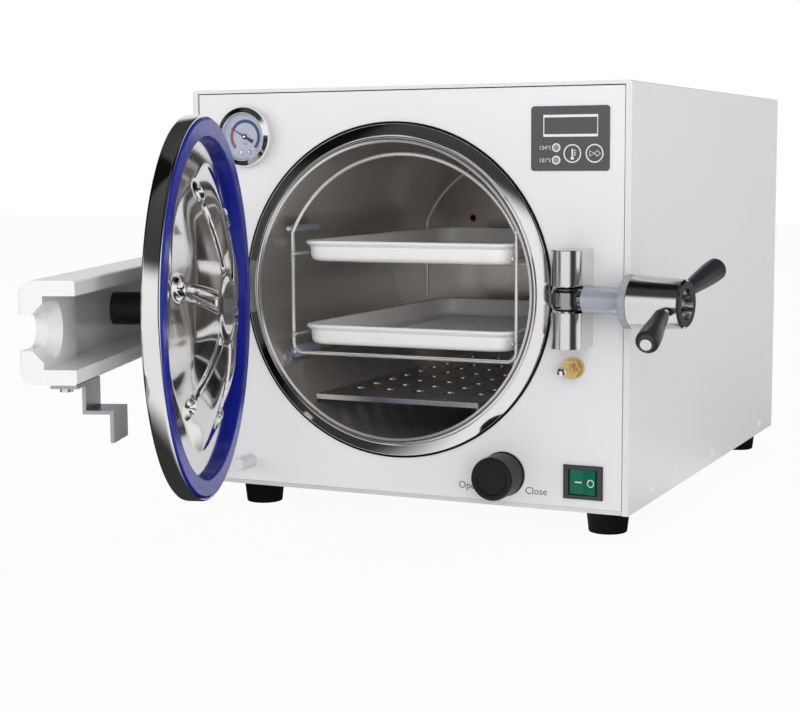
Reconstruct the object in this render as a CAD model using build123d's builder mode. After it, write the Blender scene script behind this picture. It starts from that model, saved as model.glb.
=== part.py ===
from build123d import *
import os
from math import atan2, cos, radians, sin, sqrt

# Bench-top steam steriliser: a sheet-metal cabinet round a horizontal pressure chamber, with a
# round door on a cast arm and a swing bolt that clamps the arm's forked end.
# Millimetres.  The origin is on the bench under the middle of the cabinet, +Z is up and the
# front faces -Y.

os.makedirs("parts", exist_ok=True)

# ---- cabinet ----
cabinet_width = 370.0
cabinet_depth = 476.0
cover_height = 320.5
foot_height = 19.5
sheet = 1.5                  # cover, base, front and rear panels
fit_gap = 0.2                # between sheets that slide together
seat_gap = 0.3               # between pieces that lie on each other but are not fixed
cover_radius = 3.0
side_hem = 4.7               # inward lips round the cover's front and rear openings
top_hem = 2.8
panel_gap = 0.8              # shadow gap between hem and panel
panel_recess = 1.0
panel_bottom = 3.5
base_flange = 18.0
base_lip = 3.2
plate_thickness = 5.0        # stiff plate behind the front panel that carries chamber and hinge
plate_margin = 9.0
hole_clear = 1.0             # round what passes through a sheet without touching it

# ---- chamber ----
axis_height = 162.5          # chamber, door and lock share this height above the cover's edge
chamber_x = -6.0
chamber_radius = 115.0
chamber_wall = 2.0
chamber_depth = 350.0        # front panel plane to the inside of the rear wall
flange_out = 6.0
flange_width = 14.5
flange_edge = 1.5
trim_width = 1.4
port_radius = 4.0            # steam and drain ports, a close fit on their pipes
port_x = -78.0               # from the chamber's axis
port_z = 44.5
drain_y = 341.0              # drain port in the chamber floor, behind the front plane

# ---- rack, trays and floor plate, measured from the chamber axis ----
wire = 1.5
rack_front = 15.0
rack_back = 281.5
rack_side_clear = 18.5       # chamber wall to the hoops' straight sides, at axis height
arch_clear = 9.0             # chamber wall to the hoops' arched tops
rack_bottom = -53.3
rack_corner = 8.0
rail_inset = 2.0
cross_corner = 3.0
weld_reach = 1.7             # wires lie this many radii apart where they are welded side by side
ball_end = 1.4               # melted ball ends, in wire radii
tray_length = 287.5
tray_front = 12.5
tray_shift = 2.0             # the trays lie a little off centre
tray_side_clear = 4.0        # hoop's centre line to the tray's rim
tray_overhang = 3.5
tray_corner = 18.0
tray_bend = 2.5
tray_roll = 1.8
tray_wall = 1.2
tray_height = 16.5
tray_rim = 4.5
tray_bottoms = {"upper": 21.0, "lower": -46.5}
rail_heights = {"upper": 26.7, "lower": -38.4}
floor_water = 30.5           # chamber wall to the top of the floor plate, below the axis
floor_side = 6.36            # depth of the plate's turned-down long edges
floor_sheet = 1.2
floor_edge = 4.0
floor_front = 2.5
floor_length = 328.0
floor_hole = 6.25
floor_pitch_x = 26.5
floor_pitch_y = 30.0
floor_columns = 5

# ---- door ----
door_angle = 71.95           # how far the door stands open
hinge_clear = 20.9           # flange's edge to the hinge's axis
hinge_out = 62.3
hinge_pin_radius = 6.0
running_gap = 0.05           # shaft in hole, radial
arm_past_pivot = 20.4        # arm's end beyond the swing bolt's axis
arm_half = 31.3
arm_flange = 9.2
arm_inner = -13.8            # distances ahead of the hinge axis, away from the chamber
arm_outer = 20.9
arm_web = 8.0
arm_tip_web = 14.8
arm_tip = 63.0
arm_radius = 8.0
lug_radius = 14.0
block_radius = 12.0
disc_overlap = 3.0           # disc beyond the flange
disc_depth = 12.4
disc_edge = 4.0
gasket_proud = 1.2
gasket_setback = 2.1         # gasket's outer edge to the disc's
gasket_clear = 2.0           # chamber bore to the gasket's inner edge
gasket_bed = 5.0
gasket_slack = 0.1
gasket_edge = 1.5
dish_rise = 12.4
disc_sheet = 2.0
bush_radius = 11.35
stud_radius = 5.0
fork_half = 10.8
fork_depth = 30.5

# ---- lock ----
pivot_clear = 21.1           # flange's edge to the swing bolt's axis
pivot_out = 22.5
bolt_angle = 6.7             # turned towards the front from pointing straight right
bracket_radius = 12.0
bracket_half = 36.0
bracket_gap = 9.7
pivot_pin_radius = 5.0
eye_radius = 12.25
eye_height = 17.6
shank_radius = 6.75
bolt_length = 86.0
bush_start = 15.0
bush_end = 47.9
washer_end = 53.0
hub_end = 92.8
hub_big = 19.7
hub_small = 17.6
handle_at = 78.5
handle_rise = 18.7
handle_tilt = 9.7
grip_end = 70.0
grip_radius = 8.25

# ---- front fittings: "in" from the cabinet's side, "drop" from its top, z from the cover's edge ----
gauge_in = 50.0
gauge_drop = 37.5
gauge_radius = 23.65
gauge_can = 21.5
gauge_out = 8.0
overlay_in = 47.1
overlay_drop = 41.55
overlay_size = (60.8, 47.5)
overlay_sheet = 0.8
overlay_corner = 2.5
overlay_seat = (4.0, 3.75)   # how far the film lies on the panel round its cut-out
window_size = (44.4, 16.1)
window_shift = (0.3, 9.3)    # from the overlay's centre, as are the lamps and the buttons
window_lip = 1.0
lamp_shift = -10.7
lamp_rises = (-6.65, -15.85)
lamp_radius = 3.4
button_rise = -11.05
button_shifts = (1.9, 19.0)
button_radius = 6.95
rocker_in = 35.1
rocker_z = 23.2
rocker_size = (30.8, 25.8)
rocker_wall = 1.5
rocker_lip = 1.5
rocker_room = 0.5            # switch body in the panel's cut-out
rocker_tilt = 8.0
drain_in = 98.2
drain_z = 25.5
knob_radius = 16.5
knob_out = 28.0
stem_radius = 4.0
bumper_in = 49.0
bumper_z = 19.7
bumper_radius = 5.3
bumper_out = 21.0
plunger_back = 2.4           # from the swing bolt's axis towards the chamber
plunger_drop = 53.2          # below the axis
plunger_out = 31.3
plunger_rod = 2.0
plunger_thread = 5.0
ball_radius = 3.6

# ---- rear fittings and pipes ----
pipe_radius = port_radius - 0.1
pipe_wall = 1.0
pipe_bend = 12.0
inlet_in = 65.0
inlet_z = 60.0
inlet_size = (48.0, 27.0)
inlet_flange = (9.0, 2.5)    # how far the flange stands out beyond the body
outlet_in = 67.0

# ---- fasteners ----
screw_radius = 1.9
screw_head = 3.6
screw_length = 9.0
screw_round = 1.2
cover_screw_front = 64.7     # from the front, the middle and the rear
cover_screw_middle = 6.2
cover_screw_rear = 53.8
cover_screw_z = 9.0
foot_left_in = 43.0
foot_right_in = 26.0
foot_inset = 33.0
foot_screw = 2.5
bolt_m6 = 3.0
bracket_bolts = 23.0
hinge_bolts = 13.0

# ---- worked out from the sizes above ----
half_width = cabinet_width / 2
front_y = -cabinet_depth / 2
axis_z = foot_height + axis_height
panel_width = cabinet_width - 2 * (side_hem + panel_gap)
panel_height = cover_height - top_hem - panel_gap - panel_bottom
panel_back = panel_recess + sheet
plate_back = panel_back + plate_thickness
flange_radius = chamber_radius + flange_width
flange_bore = chamber_radius + chamber_wall + fit_gap / 2
base_width = cabinet_width - 2 * (sheet + fit_gap)
base_depth = cabinet_depth - 2 * (sheet + fit_gap)
rack_half = chamber_radius - rack_side_clear
arch_radius = chamber_radius - arch_clear
rail_half = rack_half - rail_inset
tray_rim_half = rack_half - tray_side_clear
tray_body_half = tray_rim_half - tray_overhang
floor_top = floor_water - chamber_radius
floor_half = sqrt((chamber_radius - seat_gap) ** 2 - (floor_side - floor_top) ** 2)
hinge_x = chamber_x - flange_radius - hinge_clear
pivot_x = chamber_x + flange_radius + pivot_clear
arm_length = pivot_x - hinge_x + arm_past_pivot
disc_u = chamber_x - hinge_x
disc_radius = flange_radius + disc_overlap
gauge_x = gauge_in - half_width
gauge_z = cover_height - gauge_drop
overlay_x = half_width - overlay_in
overlay_z = cover_height - overlay_drop
window_x = overlay_x + window_shift[0]
window_z = overlay_z + window_shift[1]
lamp_x = overlay_x + lamp_shift
lamp_z = [overlay_z + rise for rise in lamp_rises]
button_z = overlay_z + button_rise
temperature_x = overlay_x + button_shifts[0]
start_x = overlay_x + button_shifts[1]
rocker_x = half_width - rocker_in
rocker_body_size = (rocker_size[0] - 2 * rocker_lip, rocker_size[1] - 2 * rocker_lip)
drain_x = half_width - drain_in
bumper_x = bumper_in - half_width
plunger_x = pivot_x - plunger_back
inlet_x = half_width - inlet_in
inlet_body_size = (inlet_size[0] - 2 * inlet_flange[0], inlet_size[1] - 2 * inlet_flange[1])
outlet_x = half_width - outlet_in
cover_screws_y = (cover_screw_front, cabinet_depth / 2 + cover_screw_middle,
                  cabinet_depth - cover_screw_rear)
foot_left = foot_left_in - half_width
foot_right = half_width - foot_right_in


def facing(out, x=0, z=0):
    """Plane facing out of the front: `out` ahead of the cover's edge, z above its lower edge."""
    return Plane(origin=(x, front_y - out, foot_height + z), x_dir=(1, 0, 0), z_dir=(0, -1, 0))


def chamber(out):
    """Plane across the chamber, centred on its axis and facing out of the front."""
    return facing(out, chamber_x, axis_height)


# ======== cabinet ========

# Folded cover: top and two sides in one sheet, with inward lips at both ends.
with BuildPart() as outer_cover:
    with BuildSketch(facing(0, 0, cover_height / 2)) as cover_outline:
        Rectangle(cabinet_width, cover_height)
        fillet(cover_outline.vertices().group_by(Axis.Y)[-1], cover_radius)
    extrude(amount=-cabinet_depth)
    with BuildSketch(facing(-sheet, 0, (cover_height - sheet) / 2)):
        Rectangle(cabinet_width - 2 * sheet, cover_height - sheet)
    extrude(amount=2 * sheet - cabinet_depth, mode=Mode.SUBTRACT)
    with BuildSketch(facing(0, 0, (cover_height - top_hem) / 2)):
        Rectangle(cabinet_width - 2 * side_hem, cover_height - top_hem)
    extrude(amount=-cabinet_depth, mode=Mode.SUBTRACT)
    with BuildSketch(Plane.YZ.offset(-half_width)):
        with Locations(*[(front_y + y, foot_height + cover_screw_z) for y in cover_screws_y]):
            Circle(screw_radius + fit_gap)
    extrude(amount=cabinet_width, mode=Mode.SUBTRACT)
outer_cover.part.label = "outer_cover"
export_step(outer_cover.part, "parts/outer_cover.step")

# Base tray: upturned flanges take the cover's screws, its low front lip shows under the panel.
with BuildPart() as base_plate:
    with BuildSketch(Plane.XY.offset(foot_height)):
        Rectangle(base_width, base_depth)
    extrude(amount=base_flange)
    with BuildSketch(Plane.XY.offset(foot_height + sheet)):
        Rectangle(base_width - 2 * sheet, base_depth - 2 * sheet)
    extrude(amount=base_flange, mode=Mode.SUBTRACT)
    with BuildSketch(facing(0, 0, (base_lip + base_flange) / 2)):
        Rectangle(base_width - 2 * sheet, base_flange - base_lip)
    extrude(amount=-cabinet_depth, mode=Mode.SUBTRACT)
    with BuildSketch(Plane.YZ.offset(-half_width)):
        with Locations(*[(front_y + y, foot_height + cover_screw_z) for y in cover_screws_y]):
            Circle(screw_radius + fit_gap)
    extrude(amount=cabinet_width, mode=Mode.SUBTRACT)
    with BuildSketch(Plane.XY.offset(foot_height)):
        with Locations(*[(x, y) for x in (foot_left, foot_right)
                         for y in (front_y + foot_inset, -front_y - foot_inset)]):
            Circle(foot_screw + fit_gap)
    extrude(amount=sheet, mode=Mode.SUBTRACT)
base_plate.part.label = "base_plate"
export_step(base_plate.part, "parts/base_plate.step")

# Front panel: flat sheet inside the cover's hem, with a cut-out for every fitting.
with BuildPart() as front_panel:
    with BuildSketch(facing(-panel_recess, 0, panel_bottom + panel_height / 2)):
        Rectangle(panel_width, panel_height)
    extrude(amount=-sheet)
    with BuildSketch(facing(0, 0, 0)):
        with Locations((chamber_x, axis_height)):
            Circle(flange_radius + seat_gap)
        with Locations((gauge_x, gauge_z)):
            Circle(gauge_can + seat_gap)
        with Locations((overlay_x, overlay_z)):
            Rectangle(overlay_size[0] - 2 * overlay_seat[0], overlay_size[1] - 2 * overlay_seat[1])
        with Locations((rocker_x, rocker_z)):
            Rectangle(rocker_body_size[0] + 2 * rocker_room, rocker_body_size[1] + 2 * rocker_room)
        with Locations((drain_x, drain_z)):
            Circle(stem_radius + hole_clear)
        with Locations((bumper_x, bumper_z)):
            Circle(screw_radius + fit_gap)
        with Locations((plunger_x, axis_height - plunger_drop)):
            Circle(plunger_thread + fit_gap)
        with Locations(*[(pivot_x, axis_height + s * bracket_bolts) for s in (-1, 1)],
                       *[(hinge_x, axis_height + s * hinge_bolts) for s in (-1, 1)]):
            Circle(bolt_m6 + fit_gap)
    extrude(amount=-plate_back, mode=Mode.SUBTRACT)
front_panel.part.label = "front_panel"
export_step(front_panel.part, "parts/front_panel.step")

# Mounting plate: 5 mm steel standing on the base's lip behind the panel.
board_room = 1.5             # round the control module
with BuildPart() as mounting_plate:
    with BuildSketch(facing(-panel_back, 0, (cover_height - plate_margin + panel_bottom) / 2)):
        Rectangle(cabinet_width - 2 * plate_margin, cover_height - plate_margin - panel_bottom)
    extrude(amount=-plate_thickness)
    with BuildSketch(facing(0, 0, 0)):
        with Locations((chamber_x, axis_height)):
            Circle(flange_bore)
        with Locations((gauge_x, gauge_z)):
            Circle(gauge_can + hole_clear)
        with Locations((overlay_x, overlay_z)):
            Rectangle(overlay_size[0] + 2 * board_room, overlay_size[1] + 2 * board_room)
        with Locations((rocker_x, rocker_z)):
            Rectangle(rocker_size[0] + 2 * rocker_room, rocker_size[1] + 2 * rocker_room)
        with Locations((drain_x, drain_z)):
            Circle(stem_radius + hole_clear)
        with Locations((bumper_x, bumper_z)):
            Circle(screw_radius + fit_gap)
        with Locations((plunger_x, axis_height - plunger_drop)):
            Circle(plunger_thread + fit_gap)
        with Locations(*[(pivot_x, axis_height + s * bracket_bolts) for s in (-1, 1)],
                       *[(hinge_x, axis_height + s * hinge_bolts) for s in (-1, 1)]):
            Circle(bolt_m6 + fit_gap)
    extrude(amount=-plate_back, mode=Mode.SUBTRACT)
mounting_plate.part.label = "mounting_plate"
export_step(mounting_plate.part, "parts/mounting_plate.step")

# Rear panel: vent slots, inlet cut-out and outlet hole.
vent_size = (26.0, 4.0)
vent_pitch = (36.0, 12.0)
vent_grid = (5, 4)
vent_drop = 62.0
with BuildPart() as rear_panel:
    with BuildSketch(facing(panel_back - cabinet_depth, 0, panel_bottom + panel_height / 2)):
        Rectangle(panel_width, panel_height)
    extrude(amount=-sheet)
    with BuildSketch(facing(0, 0, 0)):
        with Locations((0, cover_height - vent_drop)):
            with GridLocations(vent_pitch[0], vent_pitch[1], vent_grid[0], vent_grid[1]):
                SlotOverall(vent_size[0], vent_size[1])
        with Locations((inlet_x, inlet_z)):
            Rectangle(inlet_body_size[0] + 2 * hole_clear, inlet_body_size[1] + 2 * hole_clear)
        with Locations((outlet_x, drain_z)):
            Circle(pipe_radius + hole_clear)
    extrude(amount=-cabinet_depth, mode=Mode.SUBTRACT)
rear_panel.part.label = "rear_panel"
export_step(rear_panel.part, "parts/rear_panel.step")

# Painted pan-head screws through the cover's sides into the base's flanges.
with BuildPart() as cover_screws:
    for side in (-1, 1):
        outward = Plane(origin=(side * half_width, 0, foot_height + cover_screw_z),
                        x_dir=(0, side, 0), z_dir=(side, 0, 0))
        spots = [(side * (front_y + y), 0) for y in cover_screws_y]
        with BuildSketch(outward):
            with Locations(*spots):
                Circle(screw_head)
        extrude(amount=screw_radius)
        with BuildSketch(outward):
            with Locations(*spots):
                Circle(screw_radius)
        extrude(amount=-screw_length)
    outer_edges = cover_screws.edges().group_by(Axis.X)
    fillet(outer_edges[-1] + outer_edges[0], screw_round)
cover_screws.part.label = "cover_screws"
export_step(cover_screws.part, "parts/cover_screws.step")

# Rubber feet: cones narrower at the bench than at the base, with a pocket for the screw's head.
foot_spots = [(x, y) for x in (foot_left, foot_right)
              for y in (front_y + foot_inset, -front_y - foot_inset)]
foot_bottom_radius = 14.7
foot_top_radius = 17.0
foot_pocket = 9.0
foot_round = 1.0
foot_screw_head = 5.0
foot_screw_head_height = 2.5
foot_screw_reach = 6.0       # above the base plate's underside
with BuildPart() as feet:
    with Locations(*[(x, y, 0) for x, y in foot_spots]):
        Cone(foot_bottom_radius, foot_top_radius, foot_height,
             align=(Align.CENTER, Align.CENTER, Align.MIN))
    fillet(feet.edges().group_by(Axis.Z)[0], foot_round)
    with Locations(*[(x, y, 0) for x, y in foot_spots]):
        Cylinder(foot_screw + fit_gap, foot_height, align=(Align.CENTER, Align.CENTER, Align.MIN),
                 mode=Mode.SUBTRACT)
        Cylinder(foot_screw_head + fit_gap, foot_pocket, align=(Align.CENTER, Align.CENTER, Align.MIN),
                 mode=Mode.SUBTRACT)
feet.part.label = "feet"
export_step(feet.part, "parts/feet.step")

with BuildPart() as foot_screws:
    with Locations(*[(x, y, foot_pocket) for x, y in foot_spots]):
        Cylinder(foot_screw_head, foot_screw_head_height, align=(Align.CENTER, Align.CENTER, Align.MAX))
        Cylinder(foot_screw, foot_height - foot_pocket + foot_screw_reach,
                 align=(Align.CENTER, Align.CENTER, Align.MIN))
foot_screws.part.label = "foot_screws"
export_step(foot_screws.part, "parts/foot_screws.step")

# ======== chamber ========

# Pressure vessel: drawn tube with a flat rear wall, a steam port and a drain port.
with BuildPart() as chamber_vessel:
    with BuildSketch(chamber(flange_out)):
        Circle(chamber_radius + chamber_wall)
    extrude(amount=-flange_out - chamber_depth - chamber_wall)
    with BuildSketch(chamber(flange_out)):
        Circle(chamber_radius)
    extrude(amount=-flange_out - chamber_depth, mode=Mode.SUBTRACT)
    with BuildSketch(chamber(-chamber_depth)):
        with Locations((port_x, port_z)):
            Circle(port_radius)
    extrude(amount=-chamber_wall, mode=Mode.SUBTRACT)
    with BuildSketch(Plane.XY.offset(axis_z - chamber_radius - 2 * chamber_wall)):
        with Locations((chamber_x, front_y + drain_y)):
            Circle(port_radius)
    extrude(amount=4 * chamber_wall, mode=Mode.SUBTRACT)
chamber_vessel.part.label = "chamber_vessel"
export_step(chamber_vessel.part, "parts/chamber_vessel.step")

# Polished flange ring round the mouth, seated on the mounting plate; the door seals on it.
with BuildPart() as chamber_flange:
    with BuildSketch(chamber(flange_out)):
        Circle(flange_radius)
        Circle(flange_bore, mode=Mode.SUBTRACT)
    extrude(amount=-flange_out - panel_back)
    fillet(chamber_flange.edges().group_by(Axis.Y)[0].sort_by(SortBy.LENGTH)[-1], flange_edge)
chamber_flange.part.label = "chamber_flange"
export_step(chamber_flange.part, "parts/chamber_flange.step")

# Black rubber trim between the flange and the panel's cut edge.
with BuildPart() as flange_trim:
    with BuildSketch(chamber(fit_gap)):
        Circle(flange_radius + fit_gap / 2 + trim_width)
        Circle(flange_radius + fit_gap / 2, mode=Mode.SUBTRACT)
    extrude(amount=-panel_recess - fit_gap)
flange_trim.part.label = "flange_trim"
export_step(flange_trim.part, "parts/flange_trim.step")

# Band heater clamped round the vessel, inside the insulation.
heater_start = 40.0
heater_length = 200.0
heater_thickness = 2.5
heater_radius = chamber_radius + chamber_wall + fit_gap + heater_thickness
with BuildPart() as heater_band:
    with BuildSketch(chamber(-heater_start)):
        Circle(heater_radius)
        Circle(heater_radius - heater_thickness, mode=Mode.SUBTRACT)
    extrude(amount=-heater_length)
heater_band.part.label = "heater_band"
export_step(heater_band.part, "parts/heater_band.step")

# Glass-fibre blanket round vessel and heater.
blanket_start = 12.0
blanket_length = 316.0
blanket_thickness = 17.0
with BuildPart() as insulation_blanket:
    with BuildSketch(chamber(-blanket_start)):
        Circle(heater_radius + seat_gap + blanket_thickness)
        Circle(heater_radius + seat_gap, mode=Mode.SUBTRACT)
    extrude(amount=-blanket_length)
insulation_blanket.part.label = "insulation_blanket"
export_step(insulation_blanket.part, "parts/insulation_blanket.step")

# Perforated floor plate: its long edges turn down as far as the chamber wall.
floor_rows = int((floor_length - floor_pitch_y) / floor_pitch_y)
with BuildPart() as floor_plate:
    with BuildSketch(chamber(-floor_front)):
        with Locations((0, floor_top - floor_side / 2)):
            Rectangle(2 * floor_half, floor_side)
        with Locations((0, floor_top - floor_sheet - floor_side / 2)):
            Rectangle(2 * (floor_half - floor_sheet), floor_side, mode=Mode.SUBTRACT)
    extrude(amount=-floor_length)
    with BuildSketch(chamber(-floor_front), chamber(floor_sheet - floor_front - floor_length)):
        with Locations((0, floor_top - floor_edge / 2)):
            Rectangle(2 * floor_half, floor_edge)
    extrude(amount=-floor_sheet)
    with BuildSketch(Plane.XY.offset(axis_z + floor_top - floor_sheet)):
        with Locations((chamber_x, front_y + floor_front + floor_length / 2)):
            with GridLocations(floor_pitch_x, floor_pitch_y, floor_columns, floor_rows):
                Circle(floor_hole)
    extrude(amount=floor_sheet, mode=Mode.SUBTRACT)
floor_plate.part.label = "floor_plate"
export_step(floor_plate.part, "parts/floor_plate.step")

# Welded wire rack: two hoops carry side rails and skid wires, and cross wires lie under the trays.
shoulder = sqrt(arch_radius**2 - rack_half**2)
cross_spots = (60.0, 240.0)
skid_reach = (rack_corner + weld_reach * wire) * cos(radians(45))
skid_offset = (rack_half - rack_corner + skid_reach, rack_bottom + rack_corner - skid_reach)
top_skid_height = shoulder + 2 * wire
top_skid = (sqrt((arch_radius + weld_reach * wire) ** 2 - top_skid_height**2), top_skid_height)
top_skid_length = 48.0
rail_front = rack_front - 2 * wire
top_skid_front = rack_front - 3 * wire
with BuildPart() as rack_hoops:
    for back in (rack_front, rack_back):
        with BuildLine(chamber(-back)) as lower_hoop:
            FilletPolyline((-rack_half, shoulder), (-rack_half, rack_bottom),
                           (rack_half, rack_bottom), (rack_half, shoulder), radius=rack_corner)
        with BuildSketch(Plane(origin=lower_hoop.line @ 0, z_dir=lower_hoop.line % 0)):
            Circle(wire)
        sweep()
        with BuildLine(chamber(-back)) as arch:
            ThreePointArc((-rack_half, shoulder), (0, arch_radius), (rack_half, shoulder))
        with BuildSketch(Plane(origin=arch.line @ 0, z_dir=arch.line % 0)):
            Circle(wire)
        sweep()
        with Locations(*[chamber(-back) * Pos(s * rack_half, shoulder) for s in (-1, 1)]):
            Sphere(wire)
rack_hoops.part.label = "rack_hoops"
export_step(rack_hoops.part, "parts/rack_hoops.step")

# Rails and skid wires, notched where they are welded to the hoops.
with BuildPart() as rack_rails:
    for side in (-1, 1):
        for height in rail_heights.values():
            with BuildSketch(chamber(-rail_front)):
                with Locations((side * rail_half, height)):
                    Circle(wire)
            extrude(amount=rail_front - rack_back - wire)
            with Locations(chamber(-rail_front) * Pos(side * rail_half, height)):
                Sphere(ball_end * wire)
        with BuildSketch(chamber(-rack_front)):
            with Locations((side * skid_offset[0], skid_offset[1])):
                Circle(wire)
        extrude(amount=rack_front - rack_back)
        with BuildSketch(chamber(-top_skid_front)):
            with Locations((side * top_skid[0], top_skid[1])):
                Circle(wire)
        extrude(amount=-top_skid_length)
        with Locations(chamber(-top_skid_front) * Pos(side * top_skid[0], top_skid[1])):
            Sphere(ball_end * wire)
    add(rack_hoops.part, mode=Mode.SUBTRACT)
rack_rails.part.label = "rack_rails"
export_step(rack_rails.part, "parts/rack_rails.step")

# Cross wires: they hang from the rails and pass just under each tray.
with BuildPart() as rack_cross_wires:
    for tray in tray_bottoms:
        cross_height = tray_bottoms[tray] - wire - seat_gap
        for back in cross_spots:
            with BuildLine(chamber(-back)) as cross:
                FilletPolyline((-rail_half, rail_heights[tray]), (-rail_half, cross_height),
                               (rail_half, cross_height), (rail_half, rail_heights[tray]),
                               radius=cross_corner)
            with BuildSketch(Plane(origin=cross.line @ 0, z_dir=cross.line % 0)):
                Circle(wire)
            sweep()
    add(rack_rails.part, mode=Mode.SUBTRACT)
rack_cross_wires.part.label = "rack_cross_wires"
export_step(rack_cross_wires.part, "parts/rack_cross_wires.step")

# Silicone sleeves: large ones rest on the chamber wall, small ones cover the upper stubs.
skid_radius = chamber_radius - seat_gap - sqrt(skid_offset[0] ** 2 + skid_offset[1] ** 2)
skid_length = 32.0
top_sleeve_radius = 3.0
with BuildPart() as rack_sleeves:
    for side in (-1, 1):
        for start in (rack_front + 2 * wire, rack_back - 2 * wire - skid_length):
            with BuildSketch(chamber(-start)):
                with Locations((side * skid_offset[0], skid_offset[1])):
                    Circle(skid_radius)
                    Circle(wire + fit_gap / 4, mode=Mode.SUBTRACT)
            extrude(amount=-skid_length)
        with BuildSketch(chamber(-rack_front - 2 * wire)):
            with Locations((side * top_skid[0], top_skid[1])):
                Circle(top_sleeve_radius)
                Circle(wire + fit_gap / 4, mode=Mode.SUBTRACT)
        extrude(amount=-top_skid_length + 4 * wire)
rack_sleeves.part.label = "rack_sleeves"
export_step(rack_sleeves.part, "parts/rack_sleeves.step")


def tray_shape(bottom, name):
    """Pressed tray with a rolled rim; `bottom` is its underside above the chamber's axis."""
    base = Plane.XY.offset(axis_z + bottom)
    rim = Plane.XY.offset(axis_z + bottom + tray_height - tray_rim)
    inner = Plane.XY.offset(axis_z + bottom + tray_wall)
    middle = (chamber_x + tray_shift, front_y + tray_front + tray_length / 2)
    body_length = tray_length - 2 * tray_overhang
    with BuildPart() as tray:
        with BuildSketch(base):
            with Locations(middle):
                RectangleRounded(2 * tray_body_half, body_length, tray_corner)
        extrude(amount=tray_height)
        fillet(tray.edges().group_by(Axis.Z)[0], tray_bend)
        with BuildSketch(rim):
            with Locations(middle):
                RectangleRounded(2 * tray_rim_half, tray_length, tray_corner + tray_overhang)
        extrude(amount=tray_rim)
        fillet(tray.edges().group_by(Axis.Z)[-1], tray_roll)
        with BuildSketch(inner):
            with Locations(middle):
                RectangleRounded(2 * (tray_body_half - tray_wall), body_length - 2 * tray_wall,
                                 tray_corner - tray_wall)
        extrude(amount=tray_height, mode=Mode.SUBTRACT)
    tray.part.label = name
    return tray


upper_tray = tray_shape(tray_bottoms["upper"], "upper_tray")
export_step(upper_tray.part, "parts/upper_tray.step")
lower_tray = tray_shape(tray_bottoms["lower"], "lower_tray")
export_step(lower_tray.part, "parts/lower_tray.step")

# ======== pressure gauge ========

# Case: a black can through the panel, closed behind, open to the dial in front.
gauge_case_length = 28.0
gauge_wall = 1.2
gauge_union = (1.5, 6.0)     # wall round the pipe and length
dial_recess = 3.0            # dial face behind the front of the bezel's flange
with BuildPart() as gauge_case:
    with BuildSketch(facing(0, gauge_x, gauge_z)):
        Circle(gauge_can)
    extrude(amount=-gauge_case_length)
    with BuildSketch(facing(0, gauge_x, gauge_z)):
        Circle(gauge_can - gauge_wall)
    extrude(amount=-gauge_case_length + 2 * gauge_wall, mode=Mode.SUBTRACT)
    with BuildSketch(facing(-gauge_case_length, gauge_x, gauge_z)):
        Circle(pipe_radius + gauge_union[0])
    extrude(amount=-gauge_union[1])
gauge_case.part.label = "gauge_case"
export_step(gauge_case.part, "parts/gauge_case.step")

# Bezel: chromed ring that overlaps the panel and holds the glass.
dial_radius = 18.3
bezel_lip = 1.2
bezel_round = 2.4
with BuildPart() as gauge_bezel:
    with BuildSketch(facing(-panel_recess, gauge_x, gauge_z)):
        Circle(gauge_radius)
        Circle(gauge_can + fit_gap / 2, mode=Mode.SUBTRACT)
    extrude(amount=panel_recess)
    with BuildSketch(facing(0, gauge_x, gauge_z)):
        Circle(gauge_radius)
        Circle(dial_radius + bezel_lip, mode=Mode.SUBTRACT)
    extrude(amount=gauge_out - bezel_lip)
    with BuildSketch(facing(gauge_out - bezel_lip, gauge_x, gauge_z)):
        Circle(gauge_radius)
        Circle(dial_radius, mode=Mode.SUBTRACT)
    extrude(amount=bezel_lip)
    fillet(gauge_bezel.edges().group_by(Axis.Y)[0].sort_by(SortBy.LENGTH)[-1], bezel_round)
gauge_bezel.part.label = "gauge_bezel"
export_step(gauge_bezel.part, "parts/gauge_bezel.step")

glass_thickness = 1.5
glass_back = gauge_out - bezel_lip - glass_thickness
with BuildPart() as gauge_glass:
    with BuildSketch(facing(glass_back, gauge_x, gauge_z)):
        Circle(dial_radius + bezel_lip - fit_gap / 2)
    extrude(amount=glass_thickness)
gauge_glass.part.label = "gauge_glass"
export_step(gauge_glass.part, "parts/gauge_glass.step")

dial_face = glass_back - dial_recess
dial_thickness = 0.8
spindle_radius = 1.0
with BuildPart() as gauge_dial:
    with BuildSketch(facing(dial_face - dial_thickness, gauge_x, gauge_z)):
        Circle(dial_radius + bezel_lip - fit_gap / 2)
        Circle(spindle_radius + running_gap, mode=Mode.SUBTRACT)
    extrude(amount=dial_thickness)
gauge_dial.part.label = "gauge_dial"
export_step(gauge_dial.part, "parts/gauge_dial.step")

# Pointer at its zero, up and to the left, with its hub and spindle.
needle_angle = 150.7
needle_reach = 14.5
needle_tail = 8.5
needle_widths = (3.0, 1.5, 0.4)      # at the tail, the spindle and the tip
needle_hub = 2.2
needle_sheet = 0.4
needle_clear = 0.8
spindle_length = 8.0
needle_plane = Plane(origin=(gauge_x, front_y - dial_face - needle_clear, foot_height + gauge_z),
                     x_dir=(cos(radians(needle_angle)), 0, sin(radians(needle_angle))), z_dir=(0, -1, 0))
with BuildPart() as gauge_needle:
    with BuildSketch(needle_plane):
        with BuildLine():
            Polyline((-needle_tail, needle_widths[0] / 2), (0, needle_widths[1] / 2),
                     (needle_reach, needle_widths[2] / 2), (needle_reach, -needle_widths[2] / 2),
                     (0, -needle_widths[1] / 2), (-needle_tail, -needle_widths[0] / 2), close=True)
        make_face()
        Circle(needle_hub)
    extrude(amount=needle_sheet)
    with BuildSketch(facing(dial_face + needle_clear + needle_sheet, gauge_x, gauge_z)):
        Circle(spindle_radius)
    extrude(amount=-spindle_length)
gauge_needle.part.label = "gauge_needle"
export_step(gauge_needle.part, "parts/gauge_needle.step")

# ======== control module ========

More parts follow.
